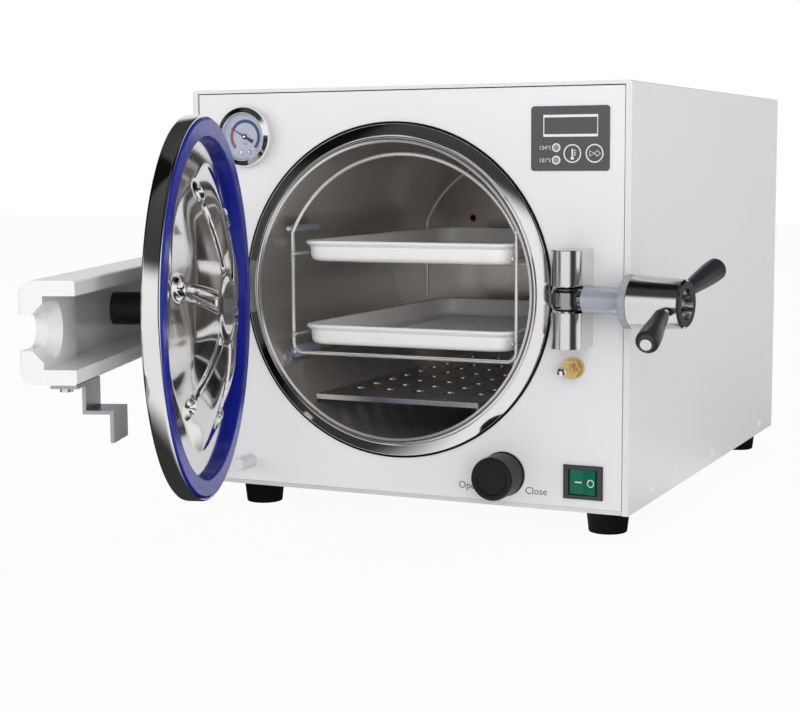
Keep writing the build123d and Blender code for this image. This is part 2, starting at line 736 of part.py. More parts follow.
# Membrane overlay: thin film on the panel with a display window, lamps and two soft buttons.
key_gap = 0.15
with BuildPart() as control_overlay:
    with BuildSketch(facing(-panel_recess, overlay_x, overlay_z)):
        RectangleRounded(overlay_size[0], overlay_size[1], overlay_corner)
    extrude(amount=overlay_sheet)
    with BuildSketch(facing(-panel_recess, 0, 0)):
        with Locations((window_x, window_z)):
            Rectangle(window_size[0] - 2 * window_lip, window_size[1] - 2 * window_lip)
        with Locations(*[(lamp_x, z) for z in lamp_z]):
            Circle(lamp_radius)
        with Locations((temperature_x, button_z), (start_x, button_z)):
            Circle(button_radius + key_gap)
    extrude(amount=overlay_sheet, mode=Mode.SUBTRACT)
control_overlay.part.label = "control_overlay"
export_step(control_overlay.part, "parts/control_overlay.step")

board_back = 12.0
board_sheet = 1.6
board_size = (56.0, 43.0)
post_inset = 3.0
switch_size = 6.0
switch_height = 3.5
with BuildPart() as control_board:
    with BuildSketch(facing(-board_back, overlay_x, overlay_z)):
        Rectangle(board_size[0], board_size[1])
    extrude(amount=board_sheet)
    with BuildSketch(facing(board_sheet - board_back, overlay_x, overlay_z)):
        with GridLocations(board_size[0] - post_inset, board_size[1] - post_inset, 2, 2):
            Circle(post_inset / 2)
    extrude(amount=board_back - board_sheet - panel_back)
    with BuildSketch(facing(board_sheet - board_back, 0, 0)):
        with Locations((temperature_x, button_z), (start_x, button_z)):
            Rectangle(switch_size, switch_size)
    extrude(amount=switch_height)
control_board.part.label = "control_board"
export_step(control_board.part, "parts/control_board.step")

board_front = board_sheet - board_back
window_recess = 0.1
with BuildPart() as display_module:
    with BuildSketch(facing(board_front, window_x, window_z)):
        Rectangle(window_size[0] - 2 * window_lip - key_gap, window_size[1] - 2 * window_lip - key_gap)
    extrude(amount=-board_front - panel_recess + overlay_sheet - window_recess)
display_module.part.label = "display_module"
export_step(display_module.part, "parts/display_module.step")

with BuildPart() as indicator_lamps:
    with BuildSketch(facing(board_front, 0, 0)):
        with Locations(*[(lamp_x, z) for z in lamp_z]):
            Circle(lamp_radius - key_gap)
    extrude(amount=-board_front - panel_recess + overlay_sheet)
indicator_lamps.part.label = "indicator_lamps"
export_step(indicator_lamps.part, "parts/indicator_lamps.step")

# Soft buttons: a disc in the overlay on a stem that reaches its switch on the board.
key_travel_room = 0.6
key_proud = 0.2
key_stem = 2.0
switch_front = board_front + switch_height
with BuildPart() as temperature_button:
    with BuildSketch(facing(-panel_recess, temperature_x, button_z)):
        Circle(button_radius)
    extrude(amount=overlay_sheet + key_proud)
    with BuildSketch(facing(-panel_recess, temperature_x, button_z)):
        Circle(key_stem)
    extrude(amount=switch_front + panel_recess + key_travel_room)
temperature_button.part.label = "temperature_button"
export_step(temperature_button.part, "parts/temperature_button.step")

with BuildPart() as start_button:
    with BuildSketch(facing(-panel_recess, start_x, button_z)):
        Circle(button_radius)
    extrude(amount=overlay_sheet + key_proud)
    with BuildSketch(facing(-panel_recess, start_x, button_z)):
        Circle(key_stem)
    extrude(amount=switch_front + panel_recess + key_travel_room)
start_button.part.label = "start_button"
export_step(start_button.part, "parts/start_button.step")

# ======== mains switch ========

rocker_body = 26.0
rocker_height = 2.4
rocker_round = 0.8
rocker_shoulder = 2.5        # bezel left round the opening, beyond the body's wall
rocker_opening = (rocker_body_size[0] - 2 * rocker_shoulder, rocker_body_size[1] - 2 * rocker_wall)
rocker_depth = 3.0           # pivot behind the cover's front edge
rocker_pin = 1.2
rocker_pin_reach = 1.0
rocker_spot = (rocker_x, front_y + rocker_depth, foot_height + rocker_z)
with BuildPart() as rocker_bezel:
    with BuildSketch(facing(-panel_recess, rocker_x, rocker_z)):
        Rectangle(rocker_size[0], rocker_size[1])
    extrude(amount=rocker_height)
    fillet(rocker_bezel.edges().group_by(Axis.Y)[0], rocker_round)
    with BuildSketch(facing(-panel_recess, rocker_x, rocker_z)):
        Rectangle(rocker_body_size[0], rocker_body_size[1])
    extrude(amount=-rocker_body)
    with BuildSketch(facing(rocker_height, rocker_x, rocker_z)):
        Rectangle(rocker_opening[0], rocker_opening[1])
    extrude(amount=-rocker_body + rocker_wall, mode=Mode.SUBTRACT)
    with Locations(rocker_spot):
        Cylinder(rocker_pin + running_gap, rocker_body_size[1], mode=Mode.SUBTRACT)
rocker_bezel.part.label = "rocker_bezel"
export_step(rocker_bezel.part, "parts/rocker_bezel.step")

# Paddle on its cross pin, resting with its left end pressed in.
paddle_gap = (0.9, 0.4)
paddle_ends = 3.6            # face ahead of the pivot at the ends and in the middle
paddle_middle = 2.2
paddle_side = 1.0
paddle_belly = 6.0
paddle_half = rocker_opening[0] / 2 - paddle_gap[0]
paddle_height = rocker_opening[1] - 2 * paddle_gap[1]
paddle_plane = Plane(origin=(rocker_x, front_y + rocker_depth, foot_height + rocker_z - paddle_height / 2),
                     x_dir=(1, 0, 0), z_dir=(0, 0, 1)).rotated((0, 0, -rocker_tilt))
with BuildPart() as rocker_paddle:
    with BuildSketch(paddle_plane):
        with BuildLine():
            Line((-paddle_half, -paddle_ends), (0, -paddle_middle))
            Line((0, -paddle_middle), (paddle_half, -paddle_ends))
            Line((paddle_half, -paddle_ends), (paddle_half, paddle_side))
            ThreePointArc((paddle_half, paddle_side), (0, paddle_belly), (-paddle_half, paddle_side))
            Line((-paddle_half, paddle_side), (-paddle_half, -paddle_ends))
        make_face()
    extrude(amount=paddle_height)
    with Locations(rocker_spot):
        Cylinder(rocker_pin, rocker_opening[1] + 2 * rocker_pin_reach)
rocker_paddle.part.label = "rocker_paddle"
export_step(rocker_paddle.part, "parts/rocker_paddle.step")

# ======== drain valve ========

valve_length = 38.0
valve_radius = 11.0
with BuildPart() as drain_valve:
    with BuildSketch(facing(-plate_back, drain_x, drain_z)):
        Circle(valve_radius)
    extrude(amount=-valve_length)
    with BuildSketch(facing(-plate_back, drain_x, drain_z)):
        Circle(stem_radius + running_gap)
    extrude(amount=-valve_length / 2, mode=Mode.SUBTRACT)
drain_valve.part.label = "drain_valve"
export_step(drain_valve.part, "parts/drain_valve.step")

# Knob: straight black body with a dished face and a wider skirt, moulded on the valve's stem.
knob_rim = 5.0               # face ring round the dish, and the dish's depth
knob_dish = 1.0
knob_bevel = (1.0, 1.5)
knob_skirt = (0.8, 3.0, 4.0)         # stands out, height of its edge and of its slope
stem_room = 2.0
knob_axis = Axis((drain_x, front_y, foot_height + drain_z), (0, -1, 0))
with BuildPart() as drain_knob:
    with BuildSketch(Plane(origin=(drain_x, front_y, foot_height + drain_z), x_dir=(1, 0, 0),
                           z_dir=(0, 0, 1))):
        with BuildLine():
            Polyline((0, knob_dish - knob_out), (knob_radius - knob_rim, knob_dish - knob_out),
                     (knob_radius - knob_rim + knob_dish, -knob_out),
                     (knob_radius - knob_bevel[0], -knob_out), (knob_radius, knob_bevel[1] - knob_out),
                     (knob_radius, -knob_skirt[2]), (knob_radius + knob_skirt[0], -knob_skirt[1]),
                     (knob_radius + knob_skirt[0], 0), (0, 0), close=True)
        make_face()
    revolve(axis=knob_axis)
    with BuildSketch(facing(0, drain_x, drain_z)):
        Circle(stem_radius)
    extrude(amount=stem_room - plate_back - valve_length / 2)
drain_knob.part.label = "drain_knob"
export_step(drain_knob.part, "parts/drain_knob.step")

# Pipes: chamber drain to the valve, valve to the rear outlet, steam port to the gauge.
drain_floor = axis_z - chamber_radius - chamber_wall
outlet_offset = 4.0          # behind the middle of the valve
outlet_y = front_y + plate_back + valve_length / 2 + outlet_offset
outlet_stub = 22.0
outlet_nut = (7.0, 5.0)      # corner radius and height
with BuildPart() as drain_pipes:
    with BuildLine() as drain_path:
        FilletPolyline((chamber_x, front_y + drain_y, drain_floor + chamber_wall / 2),
                       (chamber_x, front_y + drain_y, foot_height + drain_z),
                       (drain_x, front_y + drain_y, foot_height + drain_z),
                       (drain_x, front_y + plate_back + valve_length, foot_height + drain_z),
                       radius=pipe_bend)
    with BuildSketch(Plane(origin=drain_path.line @ 0, z_dir=drain_path.line % 0)):
        Circle(pipe_radius)
        Circle(pipe_radius - pipe_wall, mode=Mode.SUBTRACT)
    sweep()
    with BuildLine() as outlet_path:
        FilletPolyline((drain_x + valve_radius, outlet_y, foot_height + drain_z),
                       (outlet_x, outlet_y, foot_height + drain_z),
                       (outlet_x, outlet_stub - front_y, foot_height + drain_z), radius=pipe_bend)
    with BuildSketch(Plane(origin=outlet_path.line @ 0, z_dir=outlet_path.line % 0)):
        Circle(pipe_radius)
        Circle(pipe_radius - pipe_wall, mode=Mode.SUBTRACT)
    sweep()
    with BuildSketch(facing(panel_recess - cabinet_depth, outlet_x, drain_z)):
        RegularPolygon(outlet_nut[0], 6)
        Circle(pipe_radius - pipe_wall, mode=Mode.SUBTRACT)
    extrude(amount=-outlet_nut[1])
drain_pipes.part.label = "drain_pipes"
export_step(drain_pipes.part, "parts/drain_pipes.step")

pipe_room = 30.0             # behind the chamber's rear wall
gauge_pipe_start = front_y + gauge_case_length + gauge_union[1]
gauge_pipe_back = front_y + chamber_depth + pipe_room
with BuildPart() as gauge_pipe:
    with BuildLine() as gauge_path:
        FilletPolyline((gauge_x, gauge_pipe_start, foot_height + gauge_z),
                       (gauge_x, gauge_pipe_back, foot_height + gauge_z),
                       (chamber_x + port_x, gauge_pipe_back, axis_z + port_z),
                       (chamber_x + port_x, front_y + chamber_depth + chamber_wall / 2, axis_z + port_z),
                       radius=pipe_bend)
    with BuildSketch(Plane(origin=gauge_path.line @ 0, z_dir=gauge_path.line % 0)):
        Circle(pipe_radius)
        Circle(pipe_radius - pipe_wall, mode=Mode.SUBTRACT)
    sweep()
gauge_pipe.part.label = "gauge_pipe"
export_step(gauge_pipe.part, "parts/gauge_pipe.step")

# Mains inlet socket on the rear panel: shroud with three pins.
inlet_recess = 16.0
inlet_corner = 4.0
inlet_proud = 3.0
inlet_wall = 2.0
inlet_pins = ((-7.0, -2.0), (7.0, -2.0), (0.0, 3.0))
inlet_pin_size = (2.0, 4.0)
with BuildPart() as power_inlet:
    with BuildSketch(facing(panel_recess - cabinet_depth, inlet_x, inlet_z)):
        RectangleRounded(inlet_size[0], inlet_size[1], inlet_corner)
    extrude(amount=-inlet_proud)
    with BuildSketch(facing(panel_recess - cabinet_depth, inlet_x, inlet_z)):
        Rectangle(inlet_body_size[0], inlet_body_size[1])
    extrude(amount=inlet_recess + inlet_proud)
    with BuildSketch(facing(panel_recess - inlet_proud - cabinet_depth, inlet_x, inlet_z)):
        Rectangle(inlet_body_size[0] - 2 * inlet_wall, inlet_body_size[1] - 2 * inlet_wall)
    extrude(amount=inlet_recess, mode=Mode.SUBTRACT)
    with BuildSketch(facing(panel_recess - inlet_proud - cabinet_depth + inlet_recess, inlet_x, inlet_z)):
        with Locations(*inlet_pins):
            Rectangle(inlet_pin_size[0], inlet_pin_size[1])
    extrude(amount=inlet_wall - inlet_recess)
power_inlet.part.label = "power_inlet"
export_step(power_inlet.part, "parts/power_inlet.step")

# ======== door switch and bumper ========

plunger_z = axis_height - plunger_drop
nut_start = 3.8
nut_end = 11.6
nut_across = 6.5             # half the width across its flats
collar_step = 0.8
collar_length = 2.0
thread_tail = 6.0            # behind the mounting plate
plunger_washer_radius = 8.0
with BuildPart() as plunger_fitting:
    with BuildSketch(facing(nut_start, plunger_x, plunger_z)):
        RegularPolygon(nut_across, 6, major_radius=False)
    extrude(amount=nut_end - nut_start)
    with BuildSketch(facing(nut_end, plunger_x, plunger_z)):
        Circle(plunger_thread - collar_step)
    extrude(amount=collar_length)
    with BuildSketch(facing(nut_start, plunger_x, plunger_z)):
        Circle(plunger_thread)
    extrude(amount=-nut_start - plate_back - thread_tail)
    with BuildSketch(facing(nut_end + collar_length, plunger_x, plunger_z)):
        Circle(plunger_rod + running_gap)
    extrude(amount=-nut_end - collar_length - plate_back - thread_tail, mode=Mode.SUBTRACT)
plunger_fitting.part.label = "plunger_fitting"
export_step(plunger_fitting.part, "parts/plunger_fitting.step")

with BuildPart() as plunger_washer:
    with BuildSketch(facing(-panel_recess, plunger_x, plunger_z)):
        Circle(plunger_washer_radius)
        Circle(plunger_thread + fit_gap / 2, mode=Mode.SUBTRACT)
    extrude(amount=nut_start + panel_recess - fit_gap / 2)
plunger_washer.part.label = "plunger_washer"
export_step(plunger_washer.part, "parts/plunger_washer.step")

with BuildPart() as door_plunger:
    with BuildSketch(facing(-plate_back, plunger_x, plunger_z)):
        Circle(plunger_rod)
    extrude(amount=plate_back + plunger_out - ball_radius)
    with Locations(facing(plunger_out - ball_radius, plunger_x, plunger_z)):
        Sphere(ball_radius)
door_plunger.part.label = "door_plunger"
export_step(door_plunger.part, "parts/door_plunger.step")

switch_body = (16.0, 28.0, 10.0)
switch_drop = 6.0            # its middle below the plunger
with BuildPart() as door_microswitch:
    with BuildSketch(facing(-plate_back - thread_tail, plunger_x, plunger_z - switch_drop)):
        Rectangle(switch_body[0], switch_body[1])
    extrude(amount=-switch_body[2])
door_microswitch.part.label = "door_microswitch"
export_step(door_microswitch.part, "parts/door_microswitch.step")

bumper_round = 1.2
with BuildPart() as door_bumper:
    with BuildSketch(facing(-panel_recess, bumper_x, bumper_z)):
        Circle(bumper_radius)
    extrude(amount=panel_recess + bumper_out)
    fillet(door_bumper.edges().group_by(Axis.Y)[0], bumper_round)
    with BuildSketch(facing(-panel_recess, bumper_x, bumper_z)):
        Circle(screw_radius)
    extrude(amount=-plate_back + panel_recess)
door_bumper.part.label = "door_bumper"
export_step(door_bumper.part, "parts/door_bumper.step")

# ======== swing bolt lock ========

turn = radians(bolt_angle)
pivot = Vector(pivot_x, front_y - pivot_out, axis_z)
along_bolt = Vector(cos(turn), -sin(turn), 0)
bolt_axis = Axis(pivot, along_bolt)
bolt_section = Plane(origin=pivot, x_dir=along_bolt, z_dir=(0, 0, 1))


def bolt(along):
    """Plane across the swing bolt, `along` from its pivot, facing its free end."""
    return Plane(origin=pivot + along_bolt * along, x_dir=(0, 0, 1), z_dir=along_bolt)


# Clevis: two D-shaped lugs on a back web, bolted through the panel.
bracket_web = 8.0
bracket_round = 0.8
bracket_floor = 6.0          # closes the pin's hole from below
bracket_thread = 12.0        # depth of the bolts' threads behind the web's front
with BuildPart() as bolt_bracket:
    with BuildSketch(Plane.XY.offset(axis_z - bracket_half)):
        with Locations((pivot_x, front_y - pivot_out)):
            Circle(bracket_radius)
        with Locations((pivot_x, front_y - (pivot_out - panel_recess) / 2)):
            Rectangle(2 * bracket_radius, pivot_out + panel_recess)
    extrude(amount=2 * bracket_half)
    fillet(bolt_bracket.edges().group_by(Axis.Z)[-1].filter_by(GeomType.CIRCLE), bracket_round)
    with BuildSketch(facing(bracket_web, pivot_x, axis_height)):
        Rectangle(2 * bracket_radius, 2 * bracket_gap)
    extrude(amount=pivot_out + bracket_radius, mode=Mode.SUBTRACT)
    with BuildSketch(Plane.XY.offset(axis_z - bracket_half + bracket_floor)):
        with Locations((pivot_x, front_y - pivot_out)):
            Circle(pivot_pin_radius + running_gap / 2)
    extrude(amount=2 * bracket_half, mode=Mode.SUBTRACT)
    with BuildSketch(facing(-panel_recess, pivot_x, axis_height)):
        with Locations((0, bracket_bolts), (0, -bracket_bolts)):
            Circle(bolt_m6 + running_gap)
    extrude(amount=bracket_thread + panel_recess, mode=Mode.SUBTRACT)
bolt_bracket.part.label = "bolt_bracket"
export_step(bolt_bracket.part, "parts/bolt_bracket.step")

with BuildPart() as pivot_pin:
    with BuildSketch(Plane.XY.offset(axis_z - bracket_half + bracket_floor)):
        with Locations((pivot_x, front_y - pivot_out)):
            Circle(pivot_pin_radius)
    extrude(amount=2 * bracket_half - bracket_floor)
pivot_pin.part.label = "pivot_pin"
export_step(pivot_pin.part, "parts/pivot_pin.step")

# Eye bolt: rounded eye on the pin, threaded shank.
eye_round = 5.0
shank_start = pivot_pin_radius + 2.0
shank_bevel = 1.0
with BuildPart() as swing_bolt:
    with BuildSketch(Plane.XY.offset(axis_z - eye_height / 2)):
        with Locations((pivot_x, front_y - pivot_out)):
            Circle(eye_radius)
    extrude(amount=eye_height)
    fillet(swing_bolt.edges(), eye_round)
    with BuildSketch(bolt(shank_start)):
        Circle(shank_radius)
    extrude(amount=bolt_length - shank_start)
    chamfer(swing_bolt.edges().sort_by(bolt_axis)[-1], shank_bevel)
    with BuildSketch(Plane.XY.offset(axis_z - eye_height / 2)):
        with Locations((pivot_x, front_y - pivot_out)):
            Circle(pivot_pin_radius + running_gap)
    extrude(amount=eye_height, mode=Mode.SUBTRACT)
swing_bolt.part.label = "swing_bolt"
export_step(swing_bolt.part, "parts/swing_bolt.step")

# Thrust bush: clear plastic sleeve that centres in the fork, with a flange that bears on it.
bush_clearance = 0.25
bush_fork_gap = 0.3
bush_wall = 2.1              # at its narrow end, where the flange starts
bush_flange_taper = 0.4
bush_hub_gap = 0.1
with BuildPart() as thrust_bush:
    with BuildSketch(bolt_section):
        with BuildLine():
            Polyline((bush_start, shank_radius + bush_clearance), (bush_start, fork_half - bush_fork_gap),
                     (bush_end, shank_radius + bush_clearance + bush_wall), (bush_end, hub_big),
                     (washer_end - bush_hub_gap, hub_big - bush_flange_taper),
                     (washer_end - bush_hub_gap, shank_radius + bush_clearance), close=True)
        make_face()
    revolve(axis=bolt_axis)
thrust_bush.part.label = "thrust_bush"
export_step(thrust_bush.part, "parts/thrust_bush.step")

rise = radians(handle_rise)
tilt = radians(handle_tilt)
hub_point = pivot + along_bolt * handle_at
across_bolt = Vector(sin(turn), cos(turn), 0)
spoke = across_bolt * cos(rise) + Vector(0, 0, sin(rise))
spokes = [(spoke * s) * cos(tilt) + along_bolt * sin(tilt) for s in (1, -1)]
stud_start = hub_small - 1.5
hub_bevels = (1.0, 1.5)      # at the large and the small end
# Hub: tapered chrome nut with a dished end and two threaded side holes for the handles.
hub_recess = 11.0
hub_recess_depth = 6.0
stud_grip_radius = 4.0
with BuildPart() as lock_hub:
    with BuildSketch(bolt_section):
        with BuildLine():
            Polyline((washer_end, shank_radius + running_gap), (washer_end, hub_big - hub_bevels[0]),
                     (washer_end + hub_bevels[0], hub_big), (hub_end - hub_bevels[1], hub_small),
                     (hub_end, hub_small - hub_bevels[1]), (hub_end, hub_recess),
                     (hub_end - hub_recess_depth, hub_recess - hub_bevels[0]),
                     (hub_end - hub_recess_depth, shank_radius + running_gap), close=True)
        make_face()
    revolve(axis=bolt_axis)
    for direction in spokes:
        with BuildSketch(Plane(origin=hub_point + direction * stud_start, z_dir=direction)):
            Circle(stud_grip_radius + running_gap)
        extrude(amount=hub_big, mode=Mode.SUBTRACT)
lock_hub.part.label = "lock_hub"
export_step(lock_hub.part, "parts/lock_hub.step")

grip_start = 24.0
grip_bore = stud_grip_radius + fit_gap / 4
grip_neck = 5.6
grip_waist = 6.3
grip_nose = 4.9
stud_proud = 1.2
with BuildPart() as handle_studs:
    for direction in spokes:
        with BuildSketch(Plane(origin=hub_point + direction * stud_start, z_dir=direction)):
            Circle(stud_grip_radius)
        extrude(amount=grip_end + stud_proud - stud_start)
handle_studs.part.label = "handle_studs"
export_step(handle_studs.part, "parts/handle_studs.step")

# Grips: black plastic, slim at the hub and swelling to a rounded end.
with BuildPart() as handle_grips:
    for direction in spokes:
        with BuildSketch(Plane(origin=hub_point, x_dir=direction, z_dir=direction.cross(along_bolt))):
            with BuildLine():
                Line((grip_start, grip_bore), (grip_start, grip_neck))
                Spline((grip_start, grip_neck), (grip_start + 12, grip_waist),
                       (grip_end - 10, grip_radius), (grip_end - 3.5, grip_radius))
                Spline((grip_end - 3.5, grip_radius), (grip_end - 0.8, grip_radius - 1.8),
                       (grip_end, grip_nose))
                Line((grip_end, grip_nose), (grip_end, grip_bore))
                Line((grip_end, grip_bore), (grip_start, grip_bore))
            make_face()
        revolve(axis=Axis(hub_point, direction))
handle_grips.part.label = "handle_grips"
export_step(handle_grips.part, "parts/handle_grips.step")

# ======== door ========

swing = radians(door_angle)
hinge = Vector(hinge_x, front_y - hinge_out, axis_z)
along_arm = Vector(cos(swing), -sin(swing), 0)
away = Vector(-sin(swing), -cos(swing), 0)


def door(out, u=0):
    """Plane parallel to the disc, `out` ahead of the hinge, u along the arm, facing away."""
    return Plane(origin=hinge + along_arm * u + away * out, x_dir=along_arm, z_dir=away)


def level(v):
    """Level plane at height v: x along the arm from the hinge, y towards the chamber."""
    return Plane(origin=hinge + Vector(0, 0, v), x_dir=along_arm, z_dir=(0, 0, 1))


def across_arm(u):
    """Plane across the arm at u: x towards the chamber, y up."""
    return Plane(origin=hinge + along_arm * u, x_dir=away * -1, z_dir=along_arm)


# Hinge block bolted to the front panel; the arm's lugs straddle it.
block_half = arm_half - arm_flange - seat_gap
block_foot = 15.0
block_foot_depth = 8.0
block_side = block_radius - 1.0
block_thread = 15.0
with BuildPart() as hinge_block:
    with BuildSketch(Plane.XY.offset(axis_z - block_half)):
        with Locations((hinge_x, front_y - hinge_out)):
            Circle(block_radius)
        with Locations((hinge_x, front_y - (hinge_out - panel_recess) / 2)):
            Rectangle(2 * block_side, hinge_out + panel_recess)
        with Locations((hinge_x, front_y + panel_recess - block_foot_depth / 2)):
            Rectangle(2 * block_foot, block_foot_depth)
    extrude(amount=2 * block_half)
    with BuildSketch(Plane.XY.offset(axis_z - block_half)):
        with Locations((hinge_x, front_y - hinge_out)):
            Circle(hinge_pin_radius + running_gap / 2)
    extrude(amount=2 * block_half, mode=Mode.SUBTRACT)
    with BuildSketch(facing(-panel_recess, hinge_x, axis_height)):
        with Locations((0, hinge_bolts), (0, -hinge_bolts)):
            Circle(bolt_m6 + running_gap)
    extrude(amount=block_thread + panel_recess, mode=Mode.SUBTRACT)
hinge_block.part.label = "hinge_block"
export_step(hinge_block.part, "parts/hinge_block.step")

hinge_head = (2.5, 3.0)      # stands out beyond the pin, and height
hinge_pin_proud = 1.0
with BuildPart() as hinge_pin:
    with BuildSketch(Plane.XY.offset(axis_z - arm_half - hinge_pin_proud)):
        with Locations((hinge_x, front_y - hinge_out)):
            Circle(hinge_pin_radius)
    extrude(amount=2 * arm_half + 2 * hinge_pin_proud)
    with BuildSketch(Plane.XY.offset(axis_z + arm_half + seat_gap)):
        with Locations((hinge_x, front_y - hinge_out)):
            Circle(hinge_pin_radius + hinge_head[0])
    extrude(amount=hinge_head[1])
hinge_pin.part.label = "hinge_pin"
export_step(hinge_pin.part, "parts/hinge_pin.step")

# Bolts through the mounting plate into the hinge block and the lock's bracket.
bolt_head = 5.0
bolt_head_height = 4.0
bolt_reach = 10.0            # in front of the panel
with BuildPart() as panel_bolts:
    bolt_spots = ([(pivot_x, axis_height + s * bracket_bolts) for s in (-1, 1)]
                  + [(hinge_x, axis_height + s * hinge_bolts) for s in (-1, 1)])
    with BuildSketch(facing(-plate_back, 0, 0)):
        with Locations(*bolt_spots):
            RegularPolygon(bolt_head, 6, major_radius=False)
    extrude(amount=-bolt_head_height)
    with BuildSketch(facing(-plate_back, 0, 0)):
        with Locations(*bolt_spots):
            Circle(bolt_m6)
    extrude(amount=plate_back + bolt_reach)
panel_bolts.part.label = "panel_bolts"
export_step(panel_bolts.part, "parts/panel_bolts.step")

# Cast arm: a channel open towards the disc, thicker at its forked tip, lugs at the hinge.
tip_start = arm_length - arm_tip
web_inner = arm_outer - arm_web
tip_inner = arm_outer - arm_tip_web
slot_middle = arm_length - fork_depth + fork_half
relief = block_radius + 0.8
hull_start = 24.0
arm_edge = 1.5
fork_flare = 7.0
with BuildPart() as door_arm:
    with BuildSketch(across_arm(-lug_radius)) as arm_section:
        with Locations((-(arm_inner + arm_outer) / 2, 0)):
            Rectangle(arm_outer - arm_inner, 2 * arm_half)
        fillet(arm_section.vertices().group_by(Axis.X)[0], arm_radius)
        fillet(arm_section.vertices().group_by(Axis.X)[-1], arm_edge)
    extrude(amount=arm_length + lug_radius)
    with BuildSketch(level(-arm_half)) as arm_plan:
        with BuildLine():
            Line((0, lug_radius), (arm_length, lug_radius))
            Line((arm_length, lug_radius), (arm_length, -arm_outer))
            Line((arm_length, -arm_outer), (hull_start, -arm_outer))
            Line((hull_start, -arm_outer), (0, -lug_radius))
            ThreePointArc((0, -lug_radius), (-lug_radius, 0), (0, lug_radius))
        make_face()
        fillet(arm_plan.vertices().group_by(Axis.X)[-1], arm_edge)
    extrude(amount=2 * arm_half, mode=Mode.INTERSECT)
    with BuildSketch(level(arm_flange - arm_half)):
        with Locations((tip_start / 2, (lug_radius - web_inner) / 2)):
            Rectangle(tip_start, lug_radius + web_inner)
        with Locations((tip_start + arm_tip / 2, (lug_radius - tip_inner) / 2)):
            Rectangle(arm_tip, lug_radius + tip_inner)
        with Locations((-lug_radius / 2, 0)):
            Rectangle(lug_radius, 2 * arm_outer)
        Circle(relief)
    extrude(amount=2 * (arm_half - arm_flange), mode=Mode.SUBTRACT)
    with BuildSketch(door(arm_outer)):
        with Locations((slot_middle, 0)):
            Circle(fork_half)
        with Locations(((slot_middle + arm_length) / 2, 0)):
            Rectangle(arm_length - slot_middle, 2 * fork_half)
    extrude(amount=arm_inner - arm_outer, mode=Mode.SUBTRACT)
    with BuildSketch(door(tip_inner)):
        with Locations((slot_middle, 0)):
            Circle(fork_half + fork_flare)
        with Locations(((slot_middle + arm_length) / 2 + fork_flare, 0)):
            Rectangle(arm_length - slot_middle + 2 * fork_flare, 2 * (fork_half + fork_flare))
    extrude(amount=fork_flare, taper=45, mode=Mode.SUBTRACT)
    with BuildSketch(level(-arm_half)):
        Circle(hinge_pin_radius + running_gap)
    extrude(amount=2 * arm_half, mode=Mode.SUBTRACT)
    with BuildSketch(door(arm_outer, disc_u)):
        Circle(stud_radius + running_gap)
    extrude(amount=-arm_web, mode=Mode.SUBTRACT)
door_arm.part.label = "door_arm"
export_step(door_arm.part, "parts/door_arm.step")

# Door disc: pressed steel dish with a channel for the gasket and a rolled outer rim.
gasket_face = flange_out - hinge_out + seat_gap
rim_front = gasket_face + gasket_proud
rim_back = rim_front + disc_depth
gasket_inner = chamber_radius + gasket_clear
gasket_outer = disc_radius - gasket_setback
channel_inner = gasket_inner - gasket_slack
channel_outer = gasket_outer + gasket_slack
channel_floor = rim_front + gasket_bed
dish_hub = rim_front - dish_rise
disc_axis = Axis(hinge + along_arm * disc_u, away)
disc_section = Plane(origin=disc_axis.position, x_dir=(0, 0, 1),
                     z_dir=Vector(0, 0, 1).cross(away))
hub_flat = 24.0
knee_inset = 39.0            # the dish's knee inside the chamber bore, and how far it stands out
knee_rise = 1.7
border_width = 25.0          # nearly flat border from the gasket to the knee's slope, and its fall
border_fall = 1.0
rim_round = 0.5
back_wall = 6.0
dish_knee = chamber_radius - knee_inset
dish_knee_out = rim_front - knee_rise
border_inner = channel_inner - border_width
border_out = channel_floor - border_fall
rib_count = 6
rib_start = 13.5             # angle of the first rib above the arm's line
dimple_circle = (dish_knee + border_inner) / 2
dimple_radius = 8.0
dimple_rise = 2.0
dimple_hole = 1.6
rib_radius = 2.4
